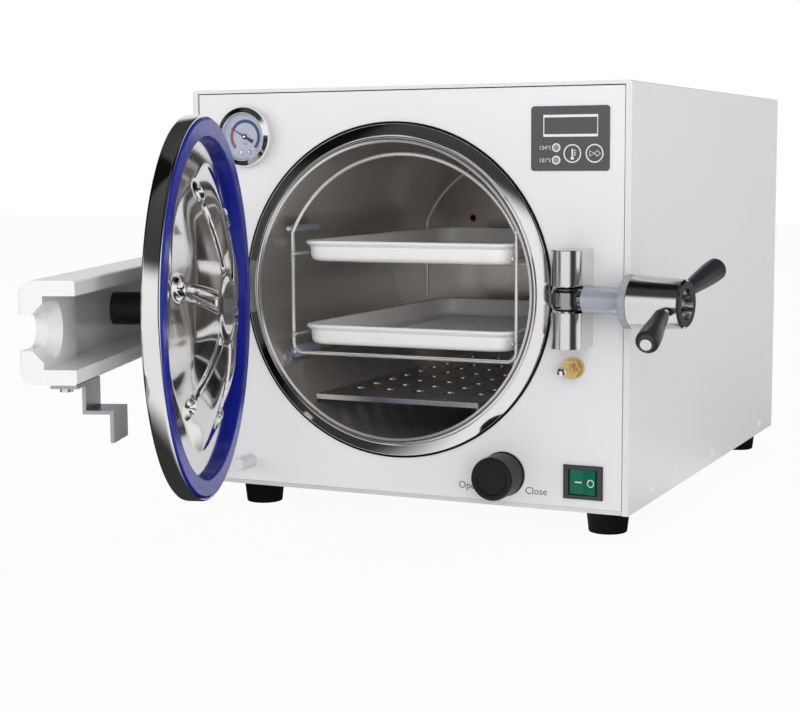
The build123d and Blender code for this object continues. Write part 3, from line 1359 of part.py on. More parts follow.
with BuildPart() as door_disc:
    with BuildSketch(disc_section):
        with BuildLine():
            Polyline((0, dish_hub), (hub_flat, dish_hub), (dish_knee, dish_knee_out),
                     (border_inner, border_out), (channel_inner, channel_floor),
                     (channel_outer, channel_floor),
                     (channel_outer, rim_front + rim_round), (channel_outer + rim_round, rim_front),
                     (disc_radius - rim_round, rim_front))
            Line((disc_radius - rim_round, rim_front), (disc_radius, rim_front + rim_round))
            Line((disc_radius, rim_front + rim_round), (disc_radius, rim_back - disc_edge))
            RadiusArc((disc_radius, rim_back - disc_edge), (disc_radius - disc_edge, rim_back),
                      -disc_edge)
            Polyline((disc_radius - disc_edge, rim_back), (disc_radius - back_wall, rim_back),
                     (disc_radius - back_wall, channel_floor + disc_sheet),
                     (channel_inner, channel_floor + disc_sheet),
                     (border_inner, border_out + disc_sheet),
                     (dish_knee, dish_knee_out + disc_sheet), (hub_flat, dish_hub + disc_sheet),
                     (0, dish_hub + disc_sheet), (0, dish_hub))
        make_face()
    revolve(axis=disc_axis)
    slope = atan2(border_out - dish_knee_out, border_inner - dish_knee)
    ribs = []
    for number in range(rib_count):
        around = radians(rib_start + number * 360 / rib_count)
        radial = along_arm * cos(around) + Vector(0, 0, sin(around))
        backward = away * cos(slope) - radial * sin(slope)
        foot = disc_axis.position + radial * hub_flat + away * (dish_hub + disc_sheet / 2)
        head = (disc_axis.position + radial * dimple_circle
                + away * ((dish_knee_out + border_out + disc_sheet) / 2))
        ribs.append((foot, head, Plane(origin=head - backward * dimple_rise, z_dir=backward)))
    with BuildSketch(*[Plane(origin=foot, z_dir=head - foot) for foot, head, face in ribs]):
        Circle(rib_radius)
    extrude(amount=(ribs[0][1] - ribs[0][0]).length - dimple_radius)
    with BuildSketch(*[face for foot, head, face in ribs]):
        Circle(dimple_radius)
    extrude(amount=dimple_rise)
    with BuildSketch(*[face for foot, head, face in ribs]):
        Circle(dimple_hole)
    extrude(amount=dimple_rise + 2 * disc_sheet, mode=Mode.SUBTRACT)
door_disc.part.label = "door_disc"
export_step(door_disc.part, "parts/door_disc.step")

with BuildPart() as door_gasket:
    with BuildSketch(door(gasket_face, disc_u)):
        Circle(gasket_outer)
        Circle(gasket_inner, mode=Mode.SUBTRACT)
    extrude(amount=channel_floor - gasket_face)
    fillet(door_gasket.edges().sort_by(disc_axis)[:2], gasket_edge)
door_gasket.part.label = "door_gasket"
export_step(door_gasket.part, "parts/door_gasket.step")

# Bush between arm and disc, and the stud that holds the disc, with its washer and nut.
with BuildPart() as disc_bush:
    with BuildSketch(door(dish_hub + disc_sheet, disc_u)):
        Circle(bush_radius)
        Circle(stud_radius + running_gap, mode=Mode.SUBTRACT)
    extrude(amount=web_inner - dish_hub - disc_sheet)
disc_bush.part.label = "disc_bush"
export_step(disc_bush.part, "parts/disc_bush.step")

stud_washer = (11.0, 1.5)    # radius and thickness
stud_nut = (8.5, 5.5)        # half across flats and height
stud_proud_of_nut = 2.5
with BuildPart() as disc_stud:
    with BuildSketch(door(dish_hub + disc_sheet, disc_u)):
        Circle(stud_radius)
    extrude(amount=arm_outer - dish_hub - disc_sheet + stud_washer[1] + stud_nut[1] + stud_proud_of_nut)
    with BuildSketch(door(arm_outer, disc_u)):
        Circle(stud_washer[0])
    extrude(amount=stud_washer[1])
    with BuildSketch(door(arm_outer + stud_washer[1], disc_u)):
        RegularPolygon(stud_nut[0], 6, major_radius=False)
    extrude(amount=stud_nut[1])
disc_stud.part.label = "disc_stud"
export_step(disc_stud.part, "parts/disc_stud.step")

# Z-shaped strip under the arm's tip that meets the door switch's plunger.
strip = 2.3
strip_back = 47.4            # from the arm's tip to the strip's near edge
strip_width = 30.0
strip_leg = 12.5
strip_step = 50.0
strip_bottom = 68.5
tab_width = 46.0
tab_end = -3.0
strip_start = arm_length - strip_back
switch_contact = hinge_out - plunger_out - seat_gap
with BuildPart() as z_bracket:
    with BuildSketch(across_arm(strip_start)):
        with Locations(((tab_end + strip_leg + strip / 2) / 2, -arm_half - strip / 2)):
            Rectangle(strip_leg + strip / 2 - tab_end, strip)
    extrude(amount=tab_width)
    with BuildSketch(across_arm(strip_start)):
        with Locations((strip_leg, -(arm_half + strip_step + strip / 2) / 2)):
            Rectangle(strip, strip_step + strip / 2 - arm_half)
        with Locations(((strip_leg - strip / 2 + switch_contact) / 2, -strip_step)):
            Rectangle(switch_contact - strip_leg + strip / 2, strip)
        with Locations((switch_contact - strip / 2, -(strip_step + strip_bottom) / 2)):
            Rectangle(strip, strip_bottom - strip_step)
    extrude(amount=strip_width)
z_bracket.part.label = "z_bracket"
export_step(z_bracket.part, "parts/z_bracket.step")

tab_screw_back = 9.4         # from the arm's tip
tab_screw_out = 4.5
tab_screw_head = (4.0, 2.6)
with BuildPart() as z_bracket_screw:
    with BuildSketch(level(-arm_half - strip)):
        with Locations((arm_length - tab_screw_back, tab_screw_out)):
            Circle(tab_screw_head[0])
    extrude(amount=-tab_screw_head[1])
z_bracket_screw.part.label = "z_bracket_screw"
export_step(z_bracket_screw.part, "parts/z_bracket_screw.step")
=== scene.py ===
import math

import bmesh
import bpy
from mathutils import Matrix, Vector
from mathutils.bvhtree import BVHTree


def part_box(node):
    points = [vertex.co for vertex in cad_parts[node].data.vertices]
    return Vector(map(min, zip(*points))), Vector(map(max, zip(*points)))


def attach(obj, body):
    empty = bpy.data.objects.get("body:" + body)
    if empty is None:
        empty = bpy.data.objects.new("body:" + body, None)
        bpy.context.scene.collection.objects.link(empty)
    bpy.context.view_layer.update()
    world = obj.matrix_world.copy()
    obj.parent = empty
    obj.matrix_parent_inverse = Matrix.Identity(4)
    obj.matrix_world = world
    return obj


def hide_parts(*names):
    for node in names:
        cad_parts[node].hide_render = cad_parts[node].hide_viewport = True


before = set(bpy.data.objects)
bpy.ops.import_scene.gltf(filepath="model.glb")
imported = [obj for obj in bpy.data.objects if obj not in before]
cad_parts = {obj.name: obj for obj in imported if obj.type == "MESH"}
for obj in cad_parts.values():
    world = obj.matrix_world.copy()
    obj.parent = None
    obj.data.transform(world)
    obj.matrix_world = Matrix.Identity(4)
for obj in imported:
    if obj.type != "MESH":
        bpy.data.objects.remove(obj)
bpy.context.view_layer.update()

# ---- Viewpoint ----
# A long lens a little above the axis of the chamber, from the front right.
camera = bpy.data.objects.new("camera", bpy.data.cameras.new("camera"))
bpy.context.collection.objects.link(camera)
camera.data.lens = 75.925
camera.data.sensor_width = 36.0
camera.data.clip_end = 30.0
turn = (Matrix.Rotation(math.radians(24.963), 3, "Z") @ Matrix.Rotation(math.radians(-6.608), 3, "X")
        @ Matrix.Rotation(math.radians(0.301), 3, "Y"))
look = Matrix((turn.col[0], turn.col[2], -turn.col[1])).transposed()
camera.matrix_world = Matrix.Translation((0.55102, -1.42309, 0.28290)) @ look.to_4x4()
bpy.context.scene.camera = camera


# ---- Studio ----
# White paper floor that keeps the soft shadow, a pale room, and large soft lamps. Metal sees
# a room with bright and dark sides; other surfaces are lit by an even one. In reflections the
# floor carries a painted shadow, darker near the cabinet's front.
def new_material(name):
    """Empty node material with a Principled shader; returns material, nodes, links, shader."""
    material = bpy.data.materials.new(name)
    material.use_nodes = True
    nodes, links = material.node_tree.nodes, material.node_tree.links
    return material, nodes, links, nodes["Principled BSDF"]


def seen_directly(nodes, links):
    """1 for camera, glossy and transmission rays, 0 for the rays that light the object."""
    path = nodes.new("ShaderNodeLightPath")
    first = nodes.new("ShaderNodeMath")
    first.operation = "MAXIMUM"
    links.new(path.outputs["Is Camera Ray"], first.inputs[0])
    links.new(path.outputs["Is Glossy Ray"], first.inputs[1])
    second = nodes.new("ShaderNodeMath")
    second.operation = "MAXIMUM"
    links.new(first.outputs[0], second.inputs[0])
    links.new(path.outputs["Is Transmission Ray"], second.inputs[1])
    return second.outputs[0]


def ramp(source, reach, stops):
    """Brightness along an angle in degrees, from -reach to reach."""
    spread = nodes.new("ShaderNodeMapRange")
    spread.inputs["From Min"].default_value = -math.radians(reach)
    spread.inputs["From Max"].default_value = math.radians(reach)
    links.new(source, spread.inputs["Value"])
    colours = nodes.new("ShaderNodeValToRGB")
    colours.color_ramp.interpolation = "EASE"
    while len(colours.color_ramp.elements) < len(stops):
        colours.color_ramp.elements.new(0.5)
    for element, (angle, level) in zip(colours.color_ramp.elements, stops):
        element.position = (angle + reach) / (2 * reach)
        element.color = (level, level, level, 1)
    links.new(spread.outputs[0], colours.inputs[0])
    return colours.outputs[0]


# azimuth from the front, anticlockwise seen from above, and how bright metal sees the room there
bright_sides = ((-180, 0.9), (-116, 0.8), (-104, 0.06), (-50, 0.06), (-36, 1), (30, 1), (40, 0.05), (72, 0.05),
                (82, 1), (112, 1), (124, 0.08), (152, 0.08), (164, 0.8), (180, 0.9))
floor_mesh = bpy.data.meshes.new("floor")
floor_half = 6.0
floor_mesh.from_pydata([(-floor_half, -floor_half, 0), (floor_half, -floor_half, 0),
                        (floor_half, floor_half, 0), (-floor_half, floor_half, 0)], [], [(0, 1, 2, 3)])
floor = bpy.data.objects.new("floor", floor_mesh)
bpy.context.collection.objects.link(floor)
paper, nodes, links, shader = new_material("paper")
shader.inputs["Base Color"].default_value = (0.92, 0.92, 0.92, 1)
shader.inputs["Roughness"].default_value = 0.9
glow = nodes.new("ShaderNodeEmission")
blend = nodes.new("ShaderNodeMixShader")
path = nodes.new("ShaderNodeLightPath")
share = nodes.new("ShaderNodeMapRange")
share.inputs["To Min"].default_value = 0.94
share.inputs["To Max"].default_value = 1.0
links.new(path.outputs["Is Glossy Ray"], share.inputs["Value"])
seen_share = nodes.new("ShaderNodeMath")
seen_share.operation = "MULTIPLY"
links.new(seen_directly(nodes, links), seen_share.inputs[0])
links.new(share.outputs[0], seen_share.inputs[1])
links.new(seen_share.outputs[0], blend.inputs[0])
# painted shadow for reflections: glossy rays see the floor's glow dimmed near the cabinet's front, brighter further
# out and following the room's bright and dark sides
spot = nodes.new("ShaderNodeTexCoord")
painted_shadow_falloff = nodes.new("ShaderNodeMapRange")
painted_shadow_falloff.interpolation_type = "SMOOTHSTEP"
painted_shadow_falloff.inputs["From Min"].default_value = 0.26
painted_shadow_falloff.inputs["From Max"].default_value = 0.36
painted_shadow_falloff.inputs["To Min"].default_value = 0.04
painted_shadow_falloff.inputs["To Max"].default_value = 0.95
away_from_middle = nodes.new("ShaderNodeVectorMath")
away_from_middle.operation = "DISTANCE"
away_from_middle.inputs[1].default_value = (-0.28, -0.42, 0)
links.new(spot.outputs["Object"], away_from_middle.inputs[0])
links.new(away_from_middle.outputs["Value"], painted_shadow_falloff.inputs["Value"])
parts = nodes.new("ShaderNodeSeparateXYZ")
links.new(spot.outputs["Object"], parts.inputs[0])
before = nodes.new("ShaderNodeMath")
before.operation = "MULTIPLY"
before.inputs[1].default_value = -1
links.new(parts.outputs["Y"], before.inputs[0])
bearing = nodes.new("ShaderNodeMath")
bearing.operation = "ARCTAN2"
links.new(parts.outputs["X"], bearing.inputs[0])
links.new(before.outputs[0], bearing.inputs[1])
dimmed = nodes.new("ShaderNodeMath")
dimmed.operation = "MULTIPLY"
links.new(painted_shadow_falloff.outputs[0], dimmed.inputs[0])
links.new(ramp(bearing.outputs[0], 180, bright_sides), dimmed.inputs[1])
tint = nodes.new("ShaderNodeMix")
links.new(path.outputs["Is Glossy Ray"], tint.inputs["Factor"])
tint.inputs["A"].default_value = 1.0
links.new(dimmed.outputs[0], tint.inputs["B"])
links.new(tint.outputs["Result"], glow.inputs["Strength"])
links.new(shader.outputs[0], blend.inputs[1])
links.new(glow.outputs[0], blend.inputs[2])
links.new(blend.outputs[0], nodes["Material Output"].inputs["Surface"])
floor_mesh.materials.append(paper)

world = bpy.data.worlds.new("room")
bpy.context.scene.world = world
world.use_nodes = True
nodes, links = world.node_tree.nodes, world.node_tree.links
direction = nodes.new("ShaderNodeTexCoord")
split = nodes.new("ShaderNodeSeparateXYZ")
links.new(direction.outputs["Generated"], split.inputs[0])
azimuth = nodes.new("ShaderNodeMath")
azimuth.operation = "ARCTAN2"
links.new(split.outputs["X"], azimuth.inputs[0])
forward = nodes.new("ShaderNodeMath")
forward.operation = "MULTIPLY"
forward.inputs[1].default_value = -1
links.new(split.outputs["Y"], forward.inputs[0])
links.new(forward.outputs[0], azimuth.inputs[1])
height = nodes.new("ShaderNodeMath")
height.operation = "ARCSINE"
links.new(split.outputs["Z"], height.inputs[0])
around = ramp(azimuth.outputs[0], 180, bright_sides)
upward = ramp(height.outputs[0], 90, ((-90, 0.03), (-58, 0.05), (-46, 0.9), (19, 1), (31, 0.05), (90, 0.08)))
room = nodes.new("ShaderNodeMix")
room.data_type = "RGBA"
room.blend_type = "MULTIPLY"
room.inputs["Factor"].default_value = 1
links.new(around, room.inputs["A"])
links.new(upward, room.inputs["B"])
path = nodes.new("ShaderNodeLightPath")
for_lens = nodes.new("ShaderNodeMix")
for_lens.data_type = "RGBA"
links.new(path.outputs["Is Camera Ray"], for_lens.inputs["Factor"])
links.new(room.outputs["Result"], for_lens.inputs["A"])
for_lens.inputs["B"].default_value = (1, 1, 1, 1)
seen = nodes.new("ShaderNodeMix")
seen.data_type = "RGBA"
links.new(seen_directly(nodes, links), seen.inputs["Factor"])
links.new(ramp(height.outputs[0], 90, ((-90, 0.6), (-10, 0.74), (25, 0.70), (60, 0.42), (90, 0.36))),
          seen.inputs["A"])
links.new(for_lens.outputs["Result"], seen.inputs["B"])
links.new(seen.outputs["Result"], nodes["Background"].inputs["Color"])


def soft_lamp(name, place, aim, size, power):
    """Square area lamp at `place`, facing `aim`; hidden from the lens."""
    lamp = bpy.data.objects.new(name, bpy.data.lights.new(name, "AREA"))
    bpy.context.collection.objects.link(lamp)
    lamp.data.size = size
    lamp.data.energy = power
    lamp.location = place
    lamp.rotation_euler = (Vector(aim) - Vector(place)).to_track_quat("-Z", "Y").to_euler()
    lamp.visible_camera = False
    lamp.visible_glossy = False


soft_lamp("front_lamp", (1.0, -2.5, 0.7), (0, -0.2, 0.15), 1.8, 28)
soft_lamp("left_lamp", (-2.0, -1.8, 0.6), (0, -0.2, 0.15), 1.8, 14)
soft_lamp("right_lamp", (2.4, 0.2, 1.0), (0, 0, 0.15), 1.5, 12)
soft_lamp("low_lamp", (1.1, -1.7, 0.15), (0, -0.2, 0.1), 0.7, 5)
soft_lamp("rear_lamp", (-0.8, 2.2, 1.6), (0, 0, 0.15), 1.6, 6)
bpy.context.scene.view_settings.view_transform = "Standard"


# ---- Sheet-metal cabinet ----
# Folded steel cover, front panel and rear panel in off-white powder coat with a fine orange
# peel; a zinc-plated base tray and mounting plate inside.
def surface(name, colour, metal=0.0, rough=0.5, grain=(0, 0), cloud=(8, 0.03), smear=(1, 1, 1),
            rough_span=0.06, **extra):
    """Finish with a bump grain, soft tone clouds and roughness that wanders about its mean."""
    material, nodes, links, shader = new_material(name)
    place = nodes.new("ShaderNodeTexCoord")
    stretch = nodes.new("ShaderNodeMapping")
    stretch.inputs["Scale"].default_value = smear
    links.new(place.outputs["Object"], stretch.inputs["Vector"])
    tone = nodes.new("ShaderNodeTexNoise")
    tone.inputs["Scale"].default_value = cloud[0]
    tone.inputs["Detail"].default_value = 4
    links.new(stretch.outputs[0], tone.inputs["Vector"])
    shade = nodes.new("ShaderNodeMix")
    shade.data_type = "RGBA"
    shade.inputs["A"].default_value = [c * (1 - cloud[1]) for c in colour] + [1]
    shade.inputs["B"].default_value = [min(1, c * (1 + cloud[1])) for c in colour] + [1]
    links.new(tone.outputs[0], shade.inputs["Factor"])
    links.new(shade.outputs["Result"], shader.inputs["Base Color"])
    wander = nodes.new("ShaderNodeMapRange")
    wander.inputs["To Min"].default_value = max(0.01, rough - rough_span)
    wander.inputs["To Max"].default_value = rough + rough_span
    fine = nodes.new("ShaderNodeTexNoise")
    fine.inputs["Scale"].default_value = max(cloud[0] * 6, 40)
    fine.inputs["Detail"].default_value = 3
    links.new(stretch.outputs[0], fine.inputs["Vector"])
    links.new(fine.outputs[0], wander.inputs["Value"])
    links.new(wander.outputs[0], shader.inputs["Roughness"])
    shader.inputs["Metallic"].default_value = metal
    if grain[1]:
        peel = nodes.new("ShaderNodeTexNoise")
        peel.inputs["Scale"].default_value = grain[0]
        peel.inputs["Detail"].default_value = 2
        links.new(stretch.outputs[0], peel.inputs["Vector"])
        bump = nodes.new("ShaderNodeBump")
        bump.inputs["Strength"].default_value = grain[1]
        bump.inputs["Distance"].default_value = 0.0002
        links.new(peel.outputs[0], bump.inputs["Height"])
        links.new(bump.outputs[0], shader.inputs["Normal"])
    for socket, value in extra.items():
        shader.inputs[socket.replace("_", " ")].default_value = value
    return material


def dress(material, *names):
    """Gives CAD nodes their finish, on every material slot."""
    for name in names:
        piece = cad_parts[name]
        for slot in piece.material_slots:
            slot.material = material


cover_paint = surface("cover_paint", (0.70, 0.70, 0.715), rough=0.42, grain=(900, 0.12), cloud=(5, 0.02))
panel_paint = surface("panel_paint", (0.745, 0.745, 0.758), rough=0.38, grain=(900, 0.10), cloud=(6, 0.02))
zinc = surface("zinc_plate", (0.52, 0.52, 0.51), metal=1.0, rough=0.38, grain=(160, 0.1), cloud=(22, 0.08))
dress(cover_paint, "outer_cover")
dress(panel_paint, "front_panel", "rear_panel")
dress(zinc, "mounting_plate", "foot_screws", "panel_bolts")
dress(surface("bright_zinc", (0.66, 0.66, 0.67), metal=0.2, rough=0.4, grain=(160, 0.08), cloud=(22, 0.04)),
      "base_plate")


# ---- Cover screws ----
# Six pan-head screws, painted with the cover, three along the bottom of each side; pressed
# heads with a cross recess.
def geometry_tree(name, inputs):
    """Geometry node group with named inputs; returns group, maker, input node, output node."""
    group = bpy.data.node_groups.new(name, "GeometryNodeTree")
    group.interface.new_socket("Geometry", in_out="INPUT", socket_type="NodeSocketGeometry")
    for label, (kind, value) in inputs.items():
        socket = group.interface.new_socket(label, in_out="INPUT", socket_type="NodeSocket" + kind)
        if value is not None:
            socket.default_value = value
    group.interface.new_socket("Geometry", in_out="OUTPUT", socket_type="NodeSocketGeometry")
    start, end = group.nodes.new("NodeGroupInput"), group.nodes.new("NodeGroupOutput")

    def make(kind, feeds=None, **settings):
        node = group.nodes.new(kind)
        for key, value in settings.items():
            setattr(node, key, value)
        for socket, source in (feeds or {}).items():
            if isinstance(source, bpy.types.NodeSocket):
                group.links.new(source, node.inputs[socket])
            else:
                node.inputs[socket].default_value = source
        return node

    return group, make, start, end


def bake_tree(name, group, base, values):
    """Runs the group on mesh `base` and returns the result as a plain mesh object."""
    carrier = bpy.data.objects.new(name + "_carrier", base)
    bpy.context.collection.objects.link(carrier)
    modifier = carrier.modifiers.new("make", "NODES")
    modifier.node_group = group
    for item in group.interface.items_tree:
        if item.item_type == "SOCKET" and item.in_out == "INPUT" and item.name in values:
            modifier[item.identifier] = values[item.name]
    depsgraph = bpy.context.evaluated_depsgraph_get()
    mesh = bpy.data.meshes.new_from_object(carrier.evaluated_get(depsgraph), depsgraph=depsgraph)
    carrier.modifiers.remove(modifier)
    bpy.data.objects.remove(carrier)
    mesh.name = name
    piece = bpy.data.objects.new(name, mesh)
    bpy.context.collection.objects.link(piece)
    return piece


def lathe(name, profile, steps=48):
    """Mesh turned round +Z from (radius, height) points, outward when the profile rises outside."""
    verts, faces, rings = [], [], []
    for radius, height in profile:
        if radius < 1e-7:
            rings.append([len(verts)])
            verts.append((0, 0, height))
        else:
            rings.append(list(range(len(verts), len(verts) + steps)))
            verts += [(radius * math.cos(2 * math.pi * k / steps), radius * math.sin(2 * math.pi * k / steps),
                       height) for k in range(steps)]
    for low, top in zip(rings, rings[1:]):
        for k in range(steps):
            n = (k + 1) % steps
            if len(low) == 1 and len(top) == 1:
                continue
            if len(low) == 1:
                faces.append((low[0], top[n], top[k]))
            elif len(top) == 1:
                faces.append((low[k], low[n], top[0]))
            else:
                faces.append((low[k], low[n], top[n], top[k]))
    mesh = bpy.data.meshes.new(name)
    mesh.from_pydata(verts, [], faces)
    mesh.validate()
    return mesh


def cross_recess_head(radius, height, slot_half, slot_reach, depth):
    """Domed head with a cross recess, as a height field over a square-to-round grid."""
    steps, rings = 24, 9
    verts, faces = [], []
    for ring in range(rings + 1):
        r = radius * ring / rings
        for k in range(steps):
            a = 2 * math.pi * k / steps
            x, y = r * math.cos(a), r * math.sin(a)
            dome = height * math.sqrt(max(0.0, 1 - (r / radius) ** 2 * 0.96))
            in_slot = (abs(x) < slot_half and abs(y) < slot_reach) or (abs(y) < slot_half and abs(x) < slot_reach)
            verts.append((x, y, dome - (depth if in_slot else 0)))
    for ring in range(rings):
        for k in range(steps):
            n = (k + 1) % steps
            faces.append((ring * steps + k, (ring + 1) * steps + k, (ring + 1) * steps + n, ring * steps + n))
    base = len(verts)
    verts += [(x, y, 0) for x, y, _ in verts[rings * steps:rings * steps + steps]]
    for k in range(steps):
        n = (k + 1) % steps
        faces.append((rings * steps + k, base + k, base + n, rings * steps + n))
    mesh = bpy.data.meshes.new("screw_head")
    mesh.from_pydata(verts, [], faces)
    return mesh


head = bpy.data.objects.new("screw_head", cross_recess_head(0.0036, 0.0015, 0.00055, 0.0019, 0.0009))
bpy.context.collection.objects.link(head)
group, make, start, end = geometry_tree("screws_on_sides", {"Head": ("Object", None), "Paint": ("Material", None)})
spot = make("GeometryNodeInputPosition")
parts = make("ShaderNodeSeparateXYZ", {"Vector": spot.outputs[0]})
side = make("ShaderNodeMath", {0: parts.outputs["X"]}, operation="SIGN")
tip = make("ShaderNodeMath", {0: side.outputs[0], 1: math.pi / 2}, operation="MULTIPLY")
facing = make("ShaderNodeCombineXYZ", {"X": math.radians(20), "Y": tip.outputs[0]})
head_shape = make("GeometryNodeObjectInfo", {"Object": start.outputs["Head"]})
spread = make("GeometryNodeInstanceOnPoints", {"Points": start.outputs["Geometry"],
                                               "Instance": head_shape.outputs["Geometry"],
                                               "Rotation": facing.outputs[0]})
real = make("GeometryNodeRealizeInstances", {"Geometry": spread.outputs[0]})
paint = make("GeometryNodeSetMaterial", {"Geometry": real.outputs[0], "Material": start.outputs["Paint"]})
group.links.new(paint.outputs[0], end.inputs[0])
low, high_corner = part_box("cover_screws")
cover_low, cover_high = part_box("outer_cover")
screw_points = bpy.data.meshes.new("screw_points")
screw_points.from_pydata([(edge, cover_low.y + along / 1000, (low.z + high_corner.z) / 2)
                          for edge in (cover_low.x, cover_high.x) for along in (64.7, 244.2, 422.2)], [], [])
screws = bake_tree("cover_screw_heads", group, screw_points, {"Head": head, "Paint": cover_paint})
bpy.data.objects.remove(head)
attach(screws, "cabinet")
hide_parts("cover_screws")

# ---- Rubber feet ----
# Four moulded black rubber cones, each held by a screw in its pocket.
rubber = surface("black_rubber", (0.004, 0.004, 0.005), rough=0.7, grain=(700, 0.25), cloud=(60, 0.2),
                 Specular_IOR_Level=0.15)
dress(rubber, "feet", "flange_trim")

# ---- Pressure chamber ----
# Deep-drawn stainless vessel with fine draw lines round it, welded to a polished mouth ring;
# a heater band and a woven glass-fibre blanket go round the outside, inside the cabinet.
chamber_steel = surface("drawn_stainless", (0.66, 0.625, 0.60), metal=0.82, rough=0.24, cloud=(30, 0.04),
                        grain=(60, 0.10), smear=(0.6, 24, 0.6), rough_span=0.05)
mirror = surface("polished_stainless", (0.80, 0.79, 0.78), metal=1.0, rough=0.09, cloud=(16, 0.03),
                 grain=(300, 0.05), rough_span=0.03)
dress(chamber_steel, "chamber_vessel")
dress(surface("heater_sheath", (0.42, 0.40, 0.37), metal=1.0, rough=0.45, cloud=(30, 0.15), grain=(90, 0.2)),
      "heater_band")
dress(surface("glass_cloth", (0.66, 0.64, 0.56), rough=0.95, cloud=(40, 0.1), grain=(420, 0.9)),
      "insulation_blanket")
dress(surface("pressed_stainless", (0.56, 0.55, 0.54), metal=1.0, rough=0.24, cloud=(14, 0.08),
              grain=(240, 0.1), smear=(8, 1, 1)), "floor_plate")

# ---- Mouth ring ----
# Turned and polished stainless ring round the chamber's mouth. Its broad face slopes back
# from a raised bead at the bore, where the gasket presses.
def tidy_mesh(mesh, gap=1e-6, angle=30):
    """Merges doubles, turns faces outwards and smooths all but sharp edges."""
    work = bmesh.new()
    work.from_mesh(mesh)
    bmesh.ops.remove_doubles(work, verts=work.verts, dist=gap)
    bmesh.ops.recalc_face_normals(work, faces=work.faces)
    for face in work.faces:
        face.smooth = True
    for edge in work.edges:
        edge.smooth = edge.calc_face_angle(math.pi) < math.radians(angle)
    work.to_mesh(mesh)
    work.free()
    return mesh


low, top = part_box("chamber_flange")
ring_middle = Vector(((low.x + top.x) / 2, low.y, (low.z + top.z) / 2))
outer = (top.x - low.x) / 2
depth = top.y - low.y
bore = 0.11712
mouth_ring = bpy.data.objects.new("mouth_ring", lathe("mouth_ring", [
    (bore, -depth), (outer, -depth), (outer, -0.0058), (outer - 0.0004, -0.0050), (outer - 0.0011, -0.0045),
    (bore + 0.0036, -0.0015), (bore + 0.0031, -0.0017), (bore + 0.0028, -0.0012), (bore + 0.0023, -0.0003),
    (bore + 0.0015, 0), (bore + 0.0007, -0.0003), (bore + 0.0002, -0.0010), (bore, -0.0018), (bore, -depth)], 180))
mouth_ring.data.transform(Matrix.Translation(ring_middle) @ Matrix.Rotation(math.pi / 2, 4, "X"))
mouth_ring.data.materials.append(mirror)
bpy.context.collection.objects.link(mouth_ring)
tidy_mesh(mouth_ring.data, 1e-7, 40)
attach(mouth_ring, "cabinet")
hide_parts("chamber_flange")

# ---- Wire rack ----
# Hoops, rails and cross wires of bright stainless rod, with translucent silicone sleeves
# pushed on where the rack touches the chamber.
wire = surface("bright_wire", (0.92, 0.91, 0.89), metal=0.7, rough=0.2, cloud=(60, 0.06), grain=(500, 0.05))
dress(wire, "rack_hoops", "rack_rails", "rack_cross_wires")
sleeve = surface("milky_silicone", (0.42, 0.45, 0.56), rough=0.3, cloud=(60, 0.08), grain=(300, 0.08),
                 Transmission_Weight=0.45, IOR=1.41, Subsurface_Weight=0.3, Subsurface_Scale=0.004)
dress(sleeve, "rack_sleeves")

# ---- Trays ----
# Two pressed aluminium trays with a rolled rim; the bottom of each is punched all over
# with small round holes.
tray_metal = surface("satin_aluminium", (0.89, 0.885, 0.87), metal=0.05, rough=0.38, cloud=(10, 0.03),
                     grain=(420, 0.08), smear=(4, 1, 1))


def rounded_outline(half_x, half_y, corner, middle, steps=8):
    """Corner points of a rounded rectangle, anticlockwise, eight steps to a corner."""
    points = []
    for quarter, (sx, sy) in enumerate(((1, 1), (-1, 1), (-1, -1), (1, -1))):
        for k in range(steps + 1):
            a = math.pi / 2 * (quarter + k / steps)
            points.append((middle[0] + sx * (half_x - corner) + corner * math.cos(a),
                           middle[1] + sy * (half_y - corner) + corner * math.sin(a)))
    return points


